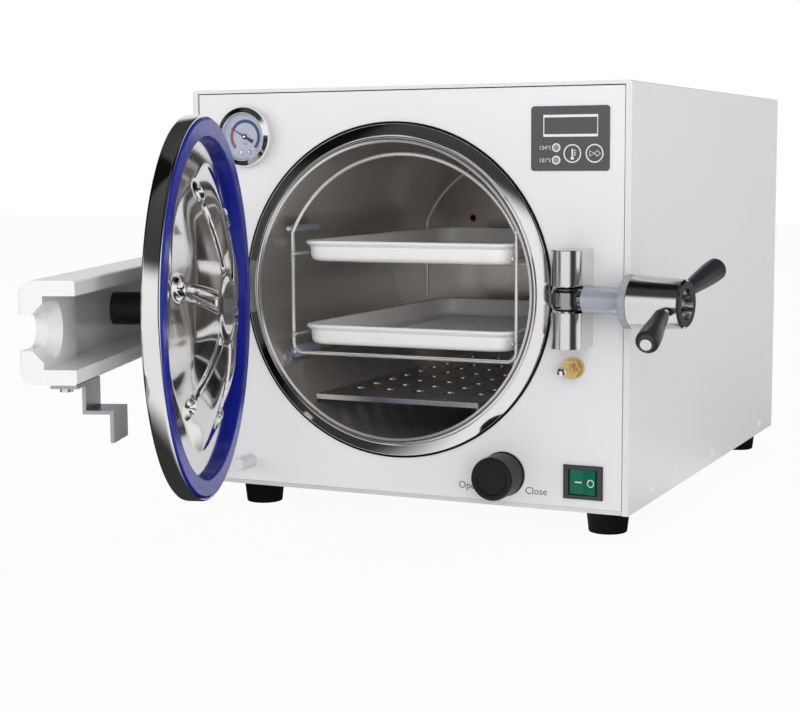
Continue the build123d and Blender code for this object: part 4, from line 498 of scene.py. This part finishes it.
hole_pitch, hole_radius, sheet = 0.0066, 0.0023, 0.0009
for node, body in (("upper_tray", "upper_tray_body"), ("lower_tray", "lower_tray_body")):
    low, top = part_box(node)
    middle = ((low.x + top.x) / 2, (low.y + top.y) / 2)
    rim_x, rim_y = (top.x - low.x) / 2, (top.y - low.y) / 2
    wall_in, corner, roll = 0.0035, 0.018, 0.0016
    # wall section from the bottom's edge, out and up, round the rolled rim and down the inside
    section = [(wall_in + 0.0045, 0), (wall_in + 0.0022, 0.0007), (wall_in + 0.0006, 0.0024),
               (wall_in, 0.0046), (wall_in - 0.0004, top.z - low.z - 0.0050)]
    section += [(roll + roll * math.cos(a), top.z - low.z - roll + roll * math.sin(a))
                for a in [math.radians(d) for d in (250, 215, 180, 145, 110, 80)]]
    section += [(wall_in - 0.0004 + sheet, top.z - low.z - 0.0004), (wall_in + sheet, 0.0048),
                (wall_in + 0.0006 + sheet, 0.0031), (wall_in + 0.0026, 0.0015), (wall_in + 0.0045, sheet)]
    verts, faces = [], []
    for inset, height in section:
        verts += [(x, y, low.z + height) for x, y in
                  rounded_outline(rim_x - inset, rim_y - inset, corner - inset * 0.6, middle)]
    around = len(verts) // len(section)
    for ring in range(len(section) - 1):
        for k in range(around):
            n = (k + 1) % around
            faces.append((ring * around + k, ring * around + n, (ring + 1) * around + n, (ring + 1) * around + k))
    last = (len(section) - 1) * around
    flat_x = rim_x - section[0][0] - 0.0148
    flat_y = rim_y - section[0][0] - 0.0148
    columns, rows = int(2 * flat_x / hole_pitch), int(2 * flat_y / hole_pitch)
    grid_x, grid_y = columns * hole_pitch / 2, rows * hole_pitch / 2
    # plain margin between the rounded edge and the punched field, above and below
    for level, start_ring, flip in ((0, 0, True), (sheet, last, False)):
        inner = [len(verts) + k for k in range(around)]
        for x, y in rounded_outline(rim_x - section[0][0], rim_y - section[0][0], corner - 0.0048, middle):
            dx, dy = x - middle[0], y - middle[1]
            verts.append((middle[0] + max(-grid_x, min(grid_x, dx)), middle[1] + max(-grid_y, min(grid_y, dy)),
                          low.z + level))
        for k in range(around):
            n = (k + 1) % around
            quad = (start_ring + k, start_ring + n, inner[n], inner[k])
            faces.append(quad[::-1] if flip else quad)
    shell = bpy.data.meshes.new(node + "_shell")
    shell.from_pydata(verts, [], faces)
    # one punched tile: an eight-sided hole in a square of sheet
    tile_verts, tile_faces = [], []
    for level in (0.0, sheet):
        for k in range(8):
            a = math.pi / 4 * k
            tile_verts.append((hole_radius * math.cos(a), hole_radius * math.sin(a), level))
        for x, y in ((1, 0), (1, 1), (0, 1), (-1, 1), (-1, 0), (-1, -1), (0, -1), (1, -1)):
            tile_verts.append((x * hole_pitch / 2, y * hole_pitch / 2, level))
    for k in range(8):
        n = (k + 1) % 8
        tile_faces += [(n, k, 8 + k, 8 + n), (16 + k, 16 + n, 24 + n, 24 + k), (k, n, 16 + n, 16 + k)]
    tile_mesh = bpy.data.meshes.new("punched_tile")
    tile_mesh.from_pydata(tile_verts, [], tile_faces)
    tile = bpy.data.objects.new("punched_tile", tile_mesh)
    bpy.context.collection.objects.link(tile)
    group, make, start, end = geometry_tree(node + "_punching", {
        "Tile": ("Object", None), "Columns": ("Int", 1), "Rows": ("Int", 1), "Pitch": ("Float", 0.006),
        "Middle": ("Vector", (0, 0, 0)), "Metal": ("Material", None)})
    span_x = make("ShaderNodeMath", {0: start.outputs["Columns"], 1: 1.0}, operation="SUBTRACT")
    span_y = make("ShaderNodeMath", {0: start.outputs["Rows"], 1: 1.0}, operation="SUBTRACT")
    size_x = make("ShaderNodeMath", {0: span_x.outputs[0], 1: start.outputs["Pitch"]}, operation="MULTIPLY")
    size_y = make("ShaderNodeMath", {0: span_y.outputs[0], 1: start.outputs["Pitch"]}, operation="MULTIPLY")
    field = make("GeometryNodeMeshGrid", {"Size X": size_x.outputs[0], "Size Y": size_y.outputs[0],
                                          "Vertices X": start.outputs["Columns"],
                                          "Vertices Y": start.outputs["Rows"]})
    moved = make("GeometryNodeTransform", {"Geometry": field.outputs["Mesh"],
                                           "Translation": start.outputs["Middle"]})
    tile_shape = make("GeometryNodeObjectInfo", {"Object": start.outputs["Tile"]})
    punched = make("GeometryNodeInstanceOnPoints", {"Points": moved.outputs[0],
                                                    "Instance": tile_shape.outputs["Geometry"]})
    joined = make("GeometryNodeJoinGeometry")
    group.links.new(start.outputs["Geometry"], joined.inputs[0])
    group.links.new(punched.outputs[0], joined.inputs[0])
    real = make("GeometryNodeRealizeInstances", {"Geometry": joined.outputs[0]})
    paint = make("GeometryNodeSetMaterial", {"Geometry": real.outputs[0], "Material": start.outputs["Metal"]})
    group.links.new(paint.outputs[0], end.inputs[0])
    tray = bake_tree(node.replace("_", "_punched_"), group, shell, {
        "Tile": tile, "Columns": columns, "Rows": rows, "Pitch": hole_pitch,
        "Middle": (middle[0], middle[1], low.z), "Metal": tray_metal})
    tidy_mesh(tray.data, gap=2e-6)
    bpy.data.objects.remove(tile)
    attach(tray, body)
    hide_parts(node)

# ---- Pressure gauge ----
# Chrome bezel and glass over a printed dial with a red and a blue band, held by two small
# screws; the black needle turns on a bright pin.
chrome = surface("chrome", (0.82, 0.82, 0.82), metal=1.0, rough=0.06, cloud=(20, 0.02), rough_span=0.02)
low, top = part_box("gauge_bezel")
bezel_radius, bezel_out = (top.x - low.x) / 2, top.y - low.y
dial_open = (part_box("gauge_dial")[1].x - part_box("gauge_dial")[0].x) / 2 - 0.0012
lip = dial_open + 0.0010
face_width = bezel_radius - 0.0003 - lip
drop = face_width * math.tan(math.radians(23))
skirt, seat = bezel_radius - 0.0021, bezel_out - 0.0052
# section: the skirt, the face sloping up in six steps, the lip round to the glass, and the seat
bezel_section = [(skirt, 0), (bezel_radius, 0), (bezel_radius, bezel_out - drop - 0.0005),
                 (bezel_radius - 0.0001, bezel_out - drop - 0.0001)]
bezel_section += [(lip + face_width * (1 - k / 6), bezel_out - 0.0001 - drop * (1 - k / 6)) for k in range(7)]
bezel_section += [(dial_open + 0.0007, bezel_out), (dial_open + 0.0004, bezel_out - 0.0001),
                  (dial_open + 0.0001, bezel_out - 0.0005), (dial_open, bezel_out - 0.0010),
                  (dial_open, seat), (skirt, seat), (skirt, 0)]
bezel = bpy.data.objects.new("round_bezel", lathe("round_bezel", bezel_section, 96))
bezel.data.transform(Matrix.Translation(((low.x + top.x) / 2, top.y, (low.z + top.z) / 2))
                     @ Matrix.Rotation(math.pi / 2, 4, "X"))
bezel.data.materials.append(chrome)
bpy.context.collection.objects.link(bezel)
tidy_mesh(bezel.data, 1e-7, 40)
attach(bezel, "cabinet")
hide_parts("gauge_bezel")
dress(surface("black_case", (0.02, 0.02, 0.021), rough=0.4, cloud=(30, 0.2), grain=(300, 0.1)), "gauge_case")
glass, nodes, links, shader = new_material("gauge_glass")
shader.inputs["Base Color"].default_value = (0.96, 0.98, 1, 1)
shader.inputs["Transmission Weight"].default_value = 1.0
shader.inputs["IOR"].default_value = 1.3
dust = nodes.new("ShaderNodeTexNoise")
dust.inputs["Scale"].default_value = 90
spread_dust = nodes.new("ShaderNodeMapRange")
spread_dust.inputs["To Min"].default_value = 0.0
spread_dust.inputs["To Max"].default_value = 0.05
where = nodes.new("ShaderNodeTexCoord")
links.new(where.outputs["Object"], dust.inputs["Vector"])
links.new(dust.outputs[0], spread_dust.inputs["Value"])
links.new(spread_dust.outputs[0], shader.inputs["Roughness"])
dress(glass, "gauge_glass")
dress(surface("dial_print", (0.66, 0.69, 0.82), rough=0.55, cloud=(30, 0.03), grain=(900, 0.04)), "gauge_dial")
dress(surface("needle_black", (0.012, 0.012, 0.013), rough=0.35, cloud=(80, 0.2), grain=(900, 0.05)),
      "gauge_needle")


def ink(name, colour, rough=0.5):
    """Screen-printing ink: even colour with a faint mottle."""
    return surface(name, colour, rough=rough, cloud=(300, 0.05), grain=(1500, 0.05))


def strip(points, width, closed=False):
    """Flat band of that width along points (x, z), as (points, faces)."""
    count = len(points)
    verts, faces = [], []
    for k, (x, z) in enumerate(points):
        before = points[(k - 1) % count] if closed or k else points[0]
        after = points[(k + 1) % count] if closed or k < count - 1 else points[-1]
        dx, dz = after[0] - before[0], after[1] - before[1]
        size = math.hypot(dx, dz) or 1
        verts += [(x - dz / size * width / 2, z + dx / size * width / 2),
                  (x + dz / size * width / 2, z - dx / size * width / 2)]
    for k in range(count if closed else count - 1):
        n = (k + 1) % count
        faces.append((2 * k, 2 * k + 1, 2 * n + 1, 2 * n))
    return verts, faces


def arc(x, z, radius, begin, finish, steps=40):
    """Points on an arc, angles in degrees from +X towards +Z."""
    return [(x + radius * math.cos(math.radians(begin + (finish - begin) * k / steps)),
             z + radius * math.sin(math.radians(begin + (finish - begin) * k / steps))) for k in range(steps + 1)]


def ring(x, z, radius, width, steps=40):
    """Closed round band."""
    return strip(arc(x, z, radius, 0, 360, steps)[:-1], width, closed=True)


def words(text, x, z, height, align="CENTER"):
    """Lettering as (points, faces); height is the height of a capital."""
    curve = bpy.data.curves.new("words", "FONT")
    curve.body = text
    curve.align_x = align
    curve.size = height / 0.70
    curve.resolution_u = 3
    holder = bpy.data.objects.new("words", curve)
    bpy.context.collection.objects.link(holder)
    bpy.context.view_layer.update()
    flat = bpy.data.meshes.new_from_object(holder)
    verts = [(x + v.co.x, z + v.co.y) for v in flat.vertices]
    faces = [tuple(p.vertices) for p in flat.polygons]
    bpy.data.objects.remove(holder)
    bpy.data.meshes.remove(flat)
    return verts, faces


def print_on(name, shapes, carriers, body, material, lift=0.00006):
    """Thin printed layer: flat shapes in x and z laid on the front of the carrier nodes."""
    work = bmesh.new()
    for verts, faces in shapes:
        made = [work.verts.new((x, 0, z)) for x, z in verts]
        for face in faces:
            try:
                work.faces.new([made[k] for k in face])
            except ValueError:
                pass
    bmesh.ops.remove_doubles(work, verts=work.verts, dist=1e-6)
    bmesh.ops.recalc_face_normals(work, faces=work.faces)
    trees = []
    for node in carriers:
        source = bmesh.new()
        source.from_mesh(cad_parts[node].data)
        trees.append(BVHTree.FromBMesh(source))
        source.free()
    for vert in work.verts:
        hits = [tree.ray_cast(Vector((vert.co.x, -1, vert.co.z)), Vector((0, 1, 0)))[0] for tree in trees]
        hits = [hit.y for hit in hits if hit]
        vert.co.y = min(hits) - lift if hits else 0
    for face in work.faces:
        if face.normal.y > 0:
            face.normal_flip()
    skin = bmesh.ops.extrude_face_region(work, geom=work.faces[:])
    raised = {item for item in skin["geom"] if isinstance(item, bmesh.types.BMVert)}
    for vert in work.verts:
        if vert not in raised:
            vert.co.y += lift * 1.2
    bmesh.ops.recalc_face_normals(work, faces=work.faces)
    mesh = bpy.data.meshes.new(name)
    work.to_mesh(mesh)
    work.free()
    mesh.materials.append(material)
    piece = bpy.data.objects.new(name, mesh)
    bpy.context.collection.objects.link(piece)
    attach(piece, body)
    return piece


white_ink = ink("white_ink", (0.74, 0.74, 0.76))
grey_ink = ink("grey_ink", (0.085, 0.085, 0.09))
dial_low, dial_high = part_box("gauge_dial")
dial_x, dial_z = (dial_low.x + dial_high.x) / 2, (dial_low.z + dial_high.z) / 2
zero = 155
tenth = 67
print_on("dial_red_band", [strip(arc(dial_x, dial_z, 0.01235, 225, zero), 0.0026)], ["gauge_dial"], "cabinet",
         ink("red_ink", (0.30, 0.065, 0.06)))
print_on("dial_blue_band", [strip(arc(dial_x, dial_z, 0.01235, zero, -45, 60), 0.0026)], ["gauge_dial"],
         "cabinet", ink("blue_ink", (0.022, 0.055, 0.25)))
ticks = []
for k in range(41):
    angle = math.radians(zero + tenth - k * tenth / 10)
    if zero + tenth - k * tenth / 10 < -46:
        continue
    reach = 0.0152 if k % 5 == 0 else 0.0146
    ticks.append(strip([(dial_x + 0.0139 * math.cos(angle), dial_z + 0.0139 * math.sin(angle)),
                        (dial_x + reach * math.cos(angle), dial_z + reach * math.sin(angle))], 0.00018))
for k, mark in enumerate(("-0.1", "0", "0.1", "0.2", "0.3")):
    angle = math.radians(zero + tenth - k * tenth)
    ticks.append(words(mark, dial_x + 0.0166 * math.cos(angle) * 0.99, dial_z + 0.0166 * math.sin(angle) - 0.0006,
                       0.0012))
ticks += [ring(dial_x + offset, dial_z - 0.0122, 0.0015, 0.0006) for offset in (-0.0036, 0.0036)]
ticks.append(words("MPa", dial_x, dial_z - 0.0066, 0.0017))
print_on("dial_marks", ticks, ["gauge_dial"], "cabinet", ink("dial_ink", (0.13, 0.15, 0.22)),
         lift=0.00004)
for number, offset in enumerate((-0.0036, 0.0036), 1):
    screw = bpy.data.objects.new(f"dial_screw_{number}", lathe(f"dial_screw_{number}", [
        (0, 0), (0.0012, 0), (0.0012, 0.0003), (0.00085, 0.0003), (0.00075, 0.0008), (0.0004, 0.001),
        (0, 0.001)], 24))
    screw.data.transform(Matrix.Translation((dial_x + offset, dial_low.y, dial_z - 0.0122))
                         @ Matrix.Rotation(math.pi / 2, 4, "X"))
    screw.data.materials.append(chrome)
    bpy.context.collection.objects.link(screw)
    tidy_mesh(screw.data, 1e-7)
    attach(screw, "cabinet")
needle_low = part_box("gauge_needle")[0]
pin = bpy.data.objects.new("needle_pin", lathe("needle_pin", [
    (0, -0.0002), (0.0011, -0.0002), (0.0011, 0.0003), (0.0008, 0.0006), (0, 0.00065)], 24))
pin.data.transform(Matrix.Translation((dial_x, needle_low.y, dial_z)) @ Matrix.Rotation(math.pi / 2, 4, "X"))
pin.data.materials.append(chrome)
bpy.context.collection.objects.link(pin)
tidy_mesh(pin.data, 1e-7)
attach(pin, "needle")

# ---- Control module ----
# Printed grey film over a circuit board: smoked display window in a light line, two lamps
# with their temperatures, and two ringed soft keys.
film = surface("printed_film", (0.072, 0.070, 0.077), rough=0.42, cloud=(60, 0.04), grain=(1200, 0.12))
dress(film, "control_overlay", "temperature_button", "start_button")
dress(surface("smoked_window", (0.055, 0.053, 0.058), rough=0.16, cloud=(40, 0.06), grain=(300, 0.02),
              Coat_Weight=0.3), "display_module")
dress(surface("solder_mask", (0.03, 0.16, 0.07), rough=0.35, cloud=(50, 0.2), grain=(300, 0.1)), "control_board")
dress(surface("lamp_lens", (0.25, 0.25, 0.26), rough=0.2, cloud=(200, 0.2), grain=(900, 0.1)),
      "indicator_lamps")
window = (0.1382, 0.30775)
lamps = ((0.1272, 0.2918), (0.1272, 0.2826))
keys = []
for key in ("temperature_button", "start_button"):
    low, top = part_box(key)
    keys.append(((low.x + top.x) / 2, (low.z + top.z) / 2))
film_marks = [strip([(window[0] + sx * 0.0208, window[1] + sz * 0.0071) for sx, sz in
                     ((-1, -1), (1, -1), (1, 1), (-1, 1))], 0.0020, closed=True)]
lamp_marks = [ring(x, z, 0.00275, 0.0009) for x, z in lamps]
label_marks = [words(mark, 0.1136, z - 0.0015, 0.0029, "LEFT") for mark, (x, z) in zip(("134°C", "121°C"), lamps)]
print_on("window_line", film_marks, ["control_overlay", "display_module"], "cabinet", white_ink)
print_on("lamp_rings", lamp_marks, ["indicator_lamps"], "cabinet", white_ink)
print_on("temperature_labels", label_marks, ["control_overlay"], "cabinet", white_ink)
temperature_marks = [ring(*keys[0], 0.0064, 0.0009),
                     strip([(keys[0][0], keys[0][1] - 0.0036), (keys[0][0], keys[0][1] + 0.0034)], 0.0012),
                     strip(arc(keys[0][0], keys[0][1] - 0.0034, 0.0008, 0, 360, 16)[:-1], 0.0011, closed=True)]
temperature_marks += [strip([(keys[0][0] + 0.0012, keys[0][1] + h), (keys[0][0] + 0.0029, keys[0][1] + h)], 0.0006)
                      for h in (0.0022, 0.0006, -0.001)]
print_on("temperature_key_marks", temperature_marks, ["temperature_button"], "temperature_key", white_ink)
sx, sz = keys[1]
start_marks = [ring(sx, sz, 0.0064, 0.0009),
               strip([(sx - 0.0038, sz - 0.0020), (sx - 0.0038, sz + 0.0020), (sx - 0.0003, sz)], 0.0006,
                     closed=True),
               strip([(sx - 0.0003, sz), (sx + 0.0021, sz + 0.0020), (sx + 0.0045, sz), (sx + 0.0021, sz - 0.0020)],
                     0.0006, closed=True)]
print_on("start_key_marks", start_marks, ["start_button"], "start_key", white_ink)

# ---- Mains switch ----
# Black snap-in bezel with a translucent green rocker, dash and circle moulded in white.
gloss_black = surface("gloss_black", (0.028, 0.028, 0.033), rough=0.24, cloud=(40, 0.15), grain=(500, 0.05))
dress(gloss_black, "rocker_bezel")
green = surface("green_rocker", (0.001, 0.125, 0.075), rough=0.3, cloud=(70, 0.12), grain=(300, 0.04),
                smear=(3, 1, 0.4), Specular_IOR_Level=0.3, Subsurface_Weight=0.15, Subsurface_Scale=0.003)
dress(green, "rocker_paddle")
rocker_low, rocker_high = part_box("rocker_bezel")
rocker_x, rocker_z = (rocker_low.x + rocker_high.x) / 2, (rocker_low.z + rocker_high.z) / 2
print_on("rocker_marks", [
    strip([(rocker_x - 0.0067 + 0.0013 * k, rocker_z - 0.0003) for k in range(5)], 0.0009),
    ring(rocker_x + 0.0062, rocker_z - 0.0003, 0.0026, 0.0008)], ["rocker_paddle"], "rocker", white_ink)

# ---- Drain valve and its knob ----
# Moulded black knob with a dished face on the brass valve's stem; the turning directions are
# printed on the panel beside it.
knob_black = surface("moulded_black", (0.008, 0.008, 0.010), rough=0.42, cloud=(60, 0.15), grain=(700, 0.1),
                     Specular_IOR_Level=0.25)
dress(knob_black, "drain_knob")
brass = surface("turned_brass", (0.62, 0.45, 0.19), metal=1.0, rough=0.2, cloud=(40, 0.04), grain=(300, 0.02))
dress(brass, "drain_valve", "plunger_fitting", "plunger_washer")
dress(surface("copper_pipe", (0.66, 0.33, 0.2), metal=1.0, rough=0.3, cloud=(30, 0.15), grain=(200, 0.1)),
      "drain_pipes", "gauge_pipe")
knob_low, knob_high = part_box("drain_knob")
front_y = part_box("front_panel")[0].y
collar = bpy.data.objects.new("knob_collar", lathe("knob_collar", [
    (0.0158, 0.0002), (0.01738, 0.0002), (0.01738, 0.0028), (0.01705, 0.0036), (0.0167, 0.0039), (0.0158, 0.0039),
    (0.0158, 0.0002)], 72))
collar.data.transform(Matrix.Translation(((knob_low.x + knob_high.x) / 2, front_y,
                                          (knob_low.z + knob_high.z) / 2)) @ Matrix.Rotation(math.pi / 2, 4, "X"))
collar.data.materials.append(chrome)
bpy.context.collection.objects.link(collar)
tidy_mesh(collar.data, 1e-7)
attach(collar, "knob")
print_on("turning_marks", [words("Open", 0.0484, 0.0309, 0.0054, "LEFT"), words("Close", 0.1032, 0.0305, 0.0054,
         "LEFT")], ["front_panel"], "cabinet", grey_ink)

# ---- Power inlet and plunger ----
# Moulded mains inlet at the back; a spring plunger with a bright ball end in a brass nut,
# which works the door switch, and a white nylon door bumper.
dress(surface("inlet_black", (0.025, 0.025, 0.026), rough=0.45, cloud=(40, 0.15), grain=(400, 0.15)),
      "power_inlet", "door_microswitch")
dress(chrome, "door_plunger")
dress(surface("white_nylon", (0.66, 0.66, 0.68), rough=0.4, cloud=(60, 0.03), grain=(300, 0.05),
              Subsurface_Weight=0.2, Subsurface_Scale=0.003), "door_bumper")

# ---- Swing bolt lock ----
# Satin-chromed clevis with its pin, a threaded swing bolt in a clear thrust bush, and a
# turned hub with two black grips on studs.
satin_chrome = surface("satin_chrome", (0.74, 0.72, 0.70), metal=1.0, rough=0.17, cloud=(30, 0.04),
                       grain=(420, 0.06), smear=(1, 1, 0.15), rough_span=0.04)
dress(satin_chrome, "bolt_bracket", "pivot_pin")
dark_steel = surface("polished_dark_steel", (0.36, 0.35, 0.33), metal=1.0, rough=0.12, cloud=(30, 0.1),
                     grain=(200, 0.05))
dress(dark_steel, "swing_bolt")
clear, nodes, links, shader = new_material("clear_nylon")
bush_tone = nodes.new("ShaderNodeTexNoise")
bush_tone.inputs["Scale"].default_value = 60
where = nodes.new("ShaderNodeTexCoord")
links.new(where.outputs["Object"], bush_tone.inputs["Vector"])
bush_shade = nodes.new("ShaderNodeMix")
bush_shade.data_type = "RGBA"
bush_shade.inputs["A"].default_value = (0.70, 0.73, 0.83, 1)
bush_shade.inputs["B"].default_value = (0.86, 0.88, 0.95, 1)
links.new(bush_tone.outputs[0], bush_shade.inputs["Factor"])
links.new(bush_shade.outputs["Result"], shader.inputs["Base Color"])
bush_rough = nodes.new("ShaderNodeMapRange")
bush_rough.inputs["To Min"].default_value = 0.18
bush_rough.inputs["To Max"].default_value = 0.30
links.new(bush_tone.outputs[0], bush_rough.inputs["Value"])
links.new(bush_rough.outputs[0], shader.inputs["Roughness"])
shader.inputs["Transmission Weight"].default_value = 0.7
shader.inputs["IOR"].default_value = 1.3
shader.inputs["Subsurface Weight"].default_value = 0.3
shader.inputs["Subsurface Scale"].default_value = 0.004
dress(clear, "thrust_bush")
dress(surface("turned_chrome", (0.70, 0.69, 0.68), metal=1.0, rough=0.15, cloud=(30, 0.05), grain=(300, 0.06),
              rough_span=0.04), "lock_hub", "handle_studs")
dress(surface("grip_black", (0.022, 0.023, 0.027), rough=0.3, cloud=(50, 0.15), grain=(600, 0.12)), "handle_grips")

# ---- Door ----
# Cast arm in white gloss enamel on a hinge block, and a pressed mirror disc with a glossy
# blue silicone gasket, hung on a central stud.
enamel = surface("gloss_enamel", (0.70, 0.70, 0.71), rough=0.22, cloud=(10, 0.02), grain=(120, 0.06),
                 Coat_Weight=0.35, Coat_Roughness=0.12)
dress(enamel, "door_arm")
dress(surface("blue_silicone", (0.008, 0.016, 0.26), rough=0.2, cloud=(20, 0.1), grain=(200, 0.03),
              Specular_IOR_Level=0.3), "door_gasket")
dress(surface("black_bush", (0.016, 0.016, 0.017), rough=0.35, cloud=(50, 0.2), grain=(300, 0.1)), "disc_bush")
dress(dark_steel, "disc_stud", "hinge_pin")
dress(surface("hinge_casting", (0.60, 0.60, 0.60), metal=1.0, rough=0.35, cloud=(40, 0.1), grain=(200, 0.3)),
      "hinge_block")
dress(surface("bright_plate", (0.72, 0.72, 0.73), metal=1.0, rough=0.22, cloud=(30, 0.05), grain=(300, 0.08)),
      "z_bracket_screw")
dress(surface("dull_plate", (0.40, 0.41, 0.43), metal=1.0, rough=0.3, cloud=(30, 0.06), grain=(300, 0.08)),
      "z_bracket")

# ---- Door disc ----
# Dish pressed from mirror-polished sheet: a nearly flat border inside the gasket, a shallow
# bowl with six channels from the hub to punched dimples, and a rolled rim round the gasket.
hinge = Vector((-0.1564, -0.3003, 0.182))
opened = math.radians(71.95)
along = Vector((math.cos(opened), -math.sin(opened), 0))
away = Vector((-math.sin(opened), -math.cos(opened), 0))
centre = hinge + along * 0.1504
border_edge, border_out = 0.1169, 0.0498
hub_edge, hub_out = 0.024, 0.0672
bowl_depth, bowl_width, petal_depth = 0.0164, 0.069, 0.0022
back_gap = 0.0012            # the sheet's thickness, seen from behind
dimple_at = 0.084
rib_start = math.radians(13.5)


def ease(value, begin, finish):
    """0 before begin, 1 after finish, smooth between."""
    t = max(0.0, min(1.0, (value - begin) / (finish - begin)))
    return t * t * (3 - 2 * t)


def blend_low(one, two, soft):
    """The lower of two values, with the corner between them rounded."""
    near = max(soft - abs(one - two), 0.0) / soft
    return min(one, two) - near * near * soft / 4


def dish_height(r, angle):
    """How far the polished face lies from the hinge's plane, along the disc's axis."""
    turn = (angle - rib_start) % (math.pi / 3)
    turn = min(turn, math.pi / 3 - turn)
    between = math.sin(3 * turn) ** 2
    border = -border_out - 0.04 * (border_edge - r)
    bowl = -hub_out + bowl_depth * (max(0.0, r - hub_edge) / bowl_width) ** 1.5
    bowl -= petal_depth * between * ease(r, 0.03, 0.075)
    face = blend_low(bowl, border, 0.0006)
    side = r * math.sin(turn)
    half = 0.0050 - 0.0022 * ease(r, 0.024, 0.080)
    length = ease(r, 0.0255, 0.0290) * (1 - ease(r, 0.0750, 0.0785))
    face += 0.0022 * (1 - ease(side, half * 0.35, half)) * length
    face -= 0.0007 * math.exp(-((side - half - 0.0009) / 0.0010) ** 2) * length
    off = math.hypot(r * math.cos(turn) - dimple_at, side)
    face -= 0.0024 * math.exp(-((off - 0.0050) / 0.0021) ** 2)
    face += 0.0022 * math.exp(-(off / 0.0030) ** 2)
    face -= 0.0012 * (1 - ease(r, 0.017, 0.0235))
    return face


turns, levels = 432, 116
verts, faces = [], []
radii = [0.11692 * k / levels for k in range(levels + 1)]


def disc_point(r, angle, out):
    return centre + along * (r * math.cos(angle)) + Vector((0, 0, r * math.sin(angle))) + away * out


def ring_of(r, outs):
    first = len(verts)
    for k in range(turns):
        angle = 2 * math.pi * k / turns
        verts.append(disc_point(r, angle, outs if isinstance(outs, float) else outs(r, angle)))
    return first


verts.append(disc_point(0, 0, dish_height(0, 0)))
rings = [ring_of(r, dish_height) for r in radii[1:]]
# border under the gasket, channel wall, rolled rim, back wall, and the back of the dish
edge = [(border_edge, -border_out), (0.1305, -border_out), (0.1305, -0.0540), (0.1308, -0.0546), (0.1313, -0.05478),
        (0.1318, -0.0546), (0.13235, -0.0539), (0.1325, -0.0530), (0.1325, -0.0442), (0.1323, -0.0432),
        (0.1317, -0.0426), (0.1310, -0.0424), (0.1265, -0.0424), (0.1264, -0.0483), (0.1162, -0.0483)]
for r, out in edge:
    rings.append(ring_of(r, out))
for r in (0.110, 0.103, 0.097, 0.091, 0.085, 0.078, 0.068, 0.05, 0.03, 0.02):
    rings.append(ring_of(r, lambda at, angle: dish_height(at, angle) + back_gap))
verts.append(disc_point(0, 0, dish_height(0, 0) + back_gap))
for k in range(turns):
    n = (k + 1) % turns
    faces.append((0, rings[0] + k, rings[0] + n))
    faces.append((rings[-1] + k, rings[-1] + n, len(verts) - 1))
    for one, two in zip(rings, rings[1:]):
        faces.append((one + k, one + n, two + n, two + k))
disc_mesh = bpy.data.meshes.new("pressed_disc")
disc_mesh.from_pydata(verts, [], faces)
disc_mesh.materials.append(mirror)
tidy_mesh(disc_mesh, 1e-7, 38)
disc = bpy.data.objects.new("pressed_disc", disc_mesh)
bpy.context.collection.objects.link(disc)
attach(disc, "door")
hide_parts("door_disc")

plugs = bmesh.new()
for number in range(6):
    angle = rib_start + number * math.pi / 3
    ring_shape = lathe("dimple_eye", [(0, -0.0004), (0.0021, -0.0004), (0.0021, 0.0003), (0.0015, 0.0003),
                                      (0.0012, -0.0001), (0, -0.0001)], 20)
    spot = disc_point(dimple_at, angle, dish_height(dimple_at, angle) - 0.0003)
    basis = Matrix((along, Vector((0, 0, 1)), -away)).transposed()
    ring_shape.transform(Matrix.Translation(spot) @ basis.to_4x4())
    plugs.from_mesh(ring_shape)
    bpy.data.meshes.remove(ring_shape)
plug_mesh = bpy.data.meshes.new("dimple_eyes")
plugs.to_mesh(plug_mesh)
plugs.free()
plug_mesh.materials.append(dark_steel)
tidy_mesh(plug_mesh, 1e-7)
eyes = bpy.data.objects.new("dimple_eyes", plug_mesh)
bpy.context.collection.objects.link(eyes)
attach(eyes, "door")
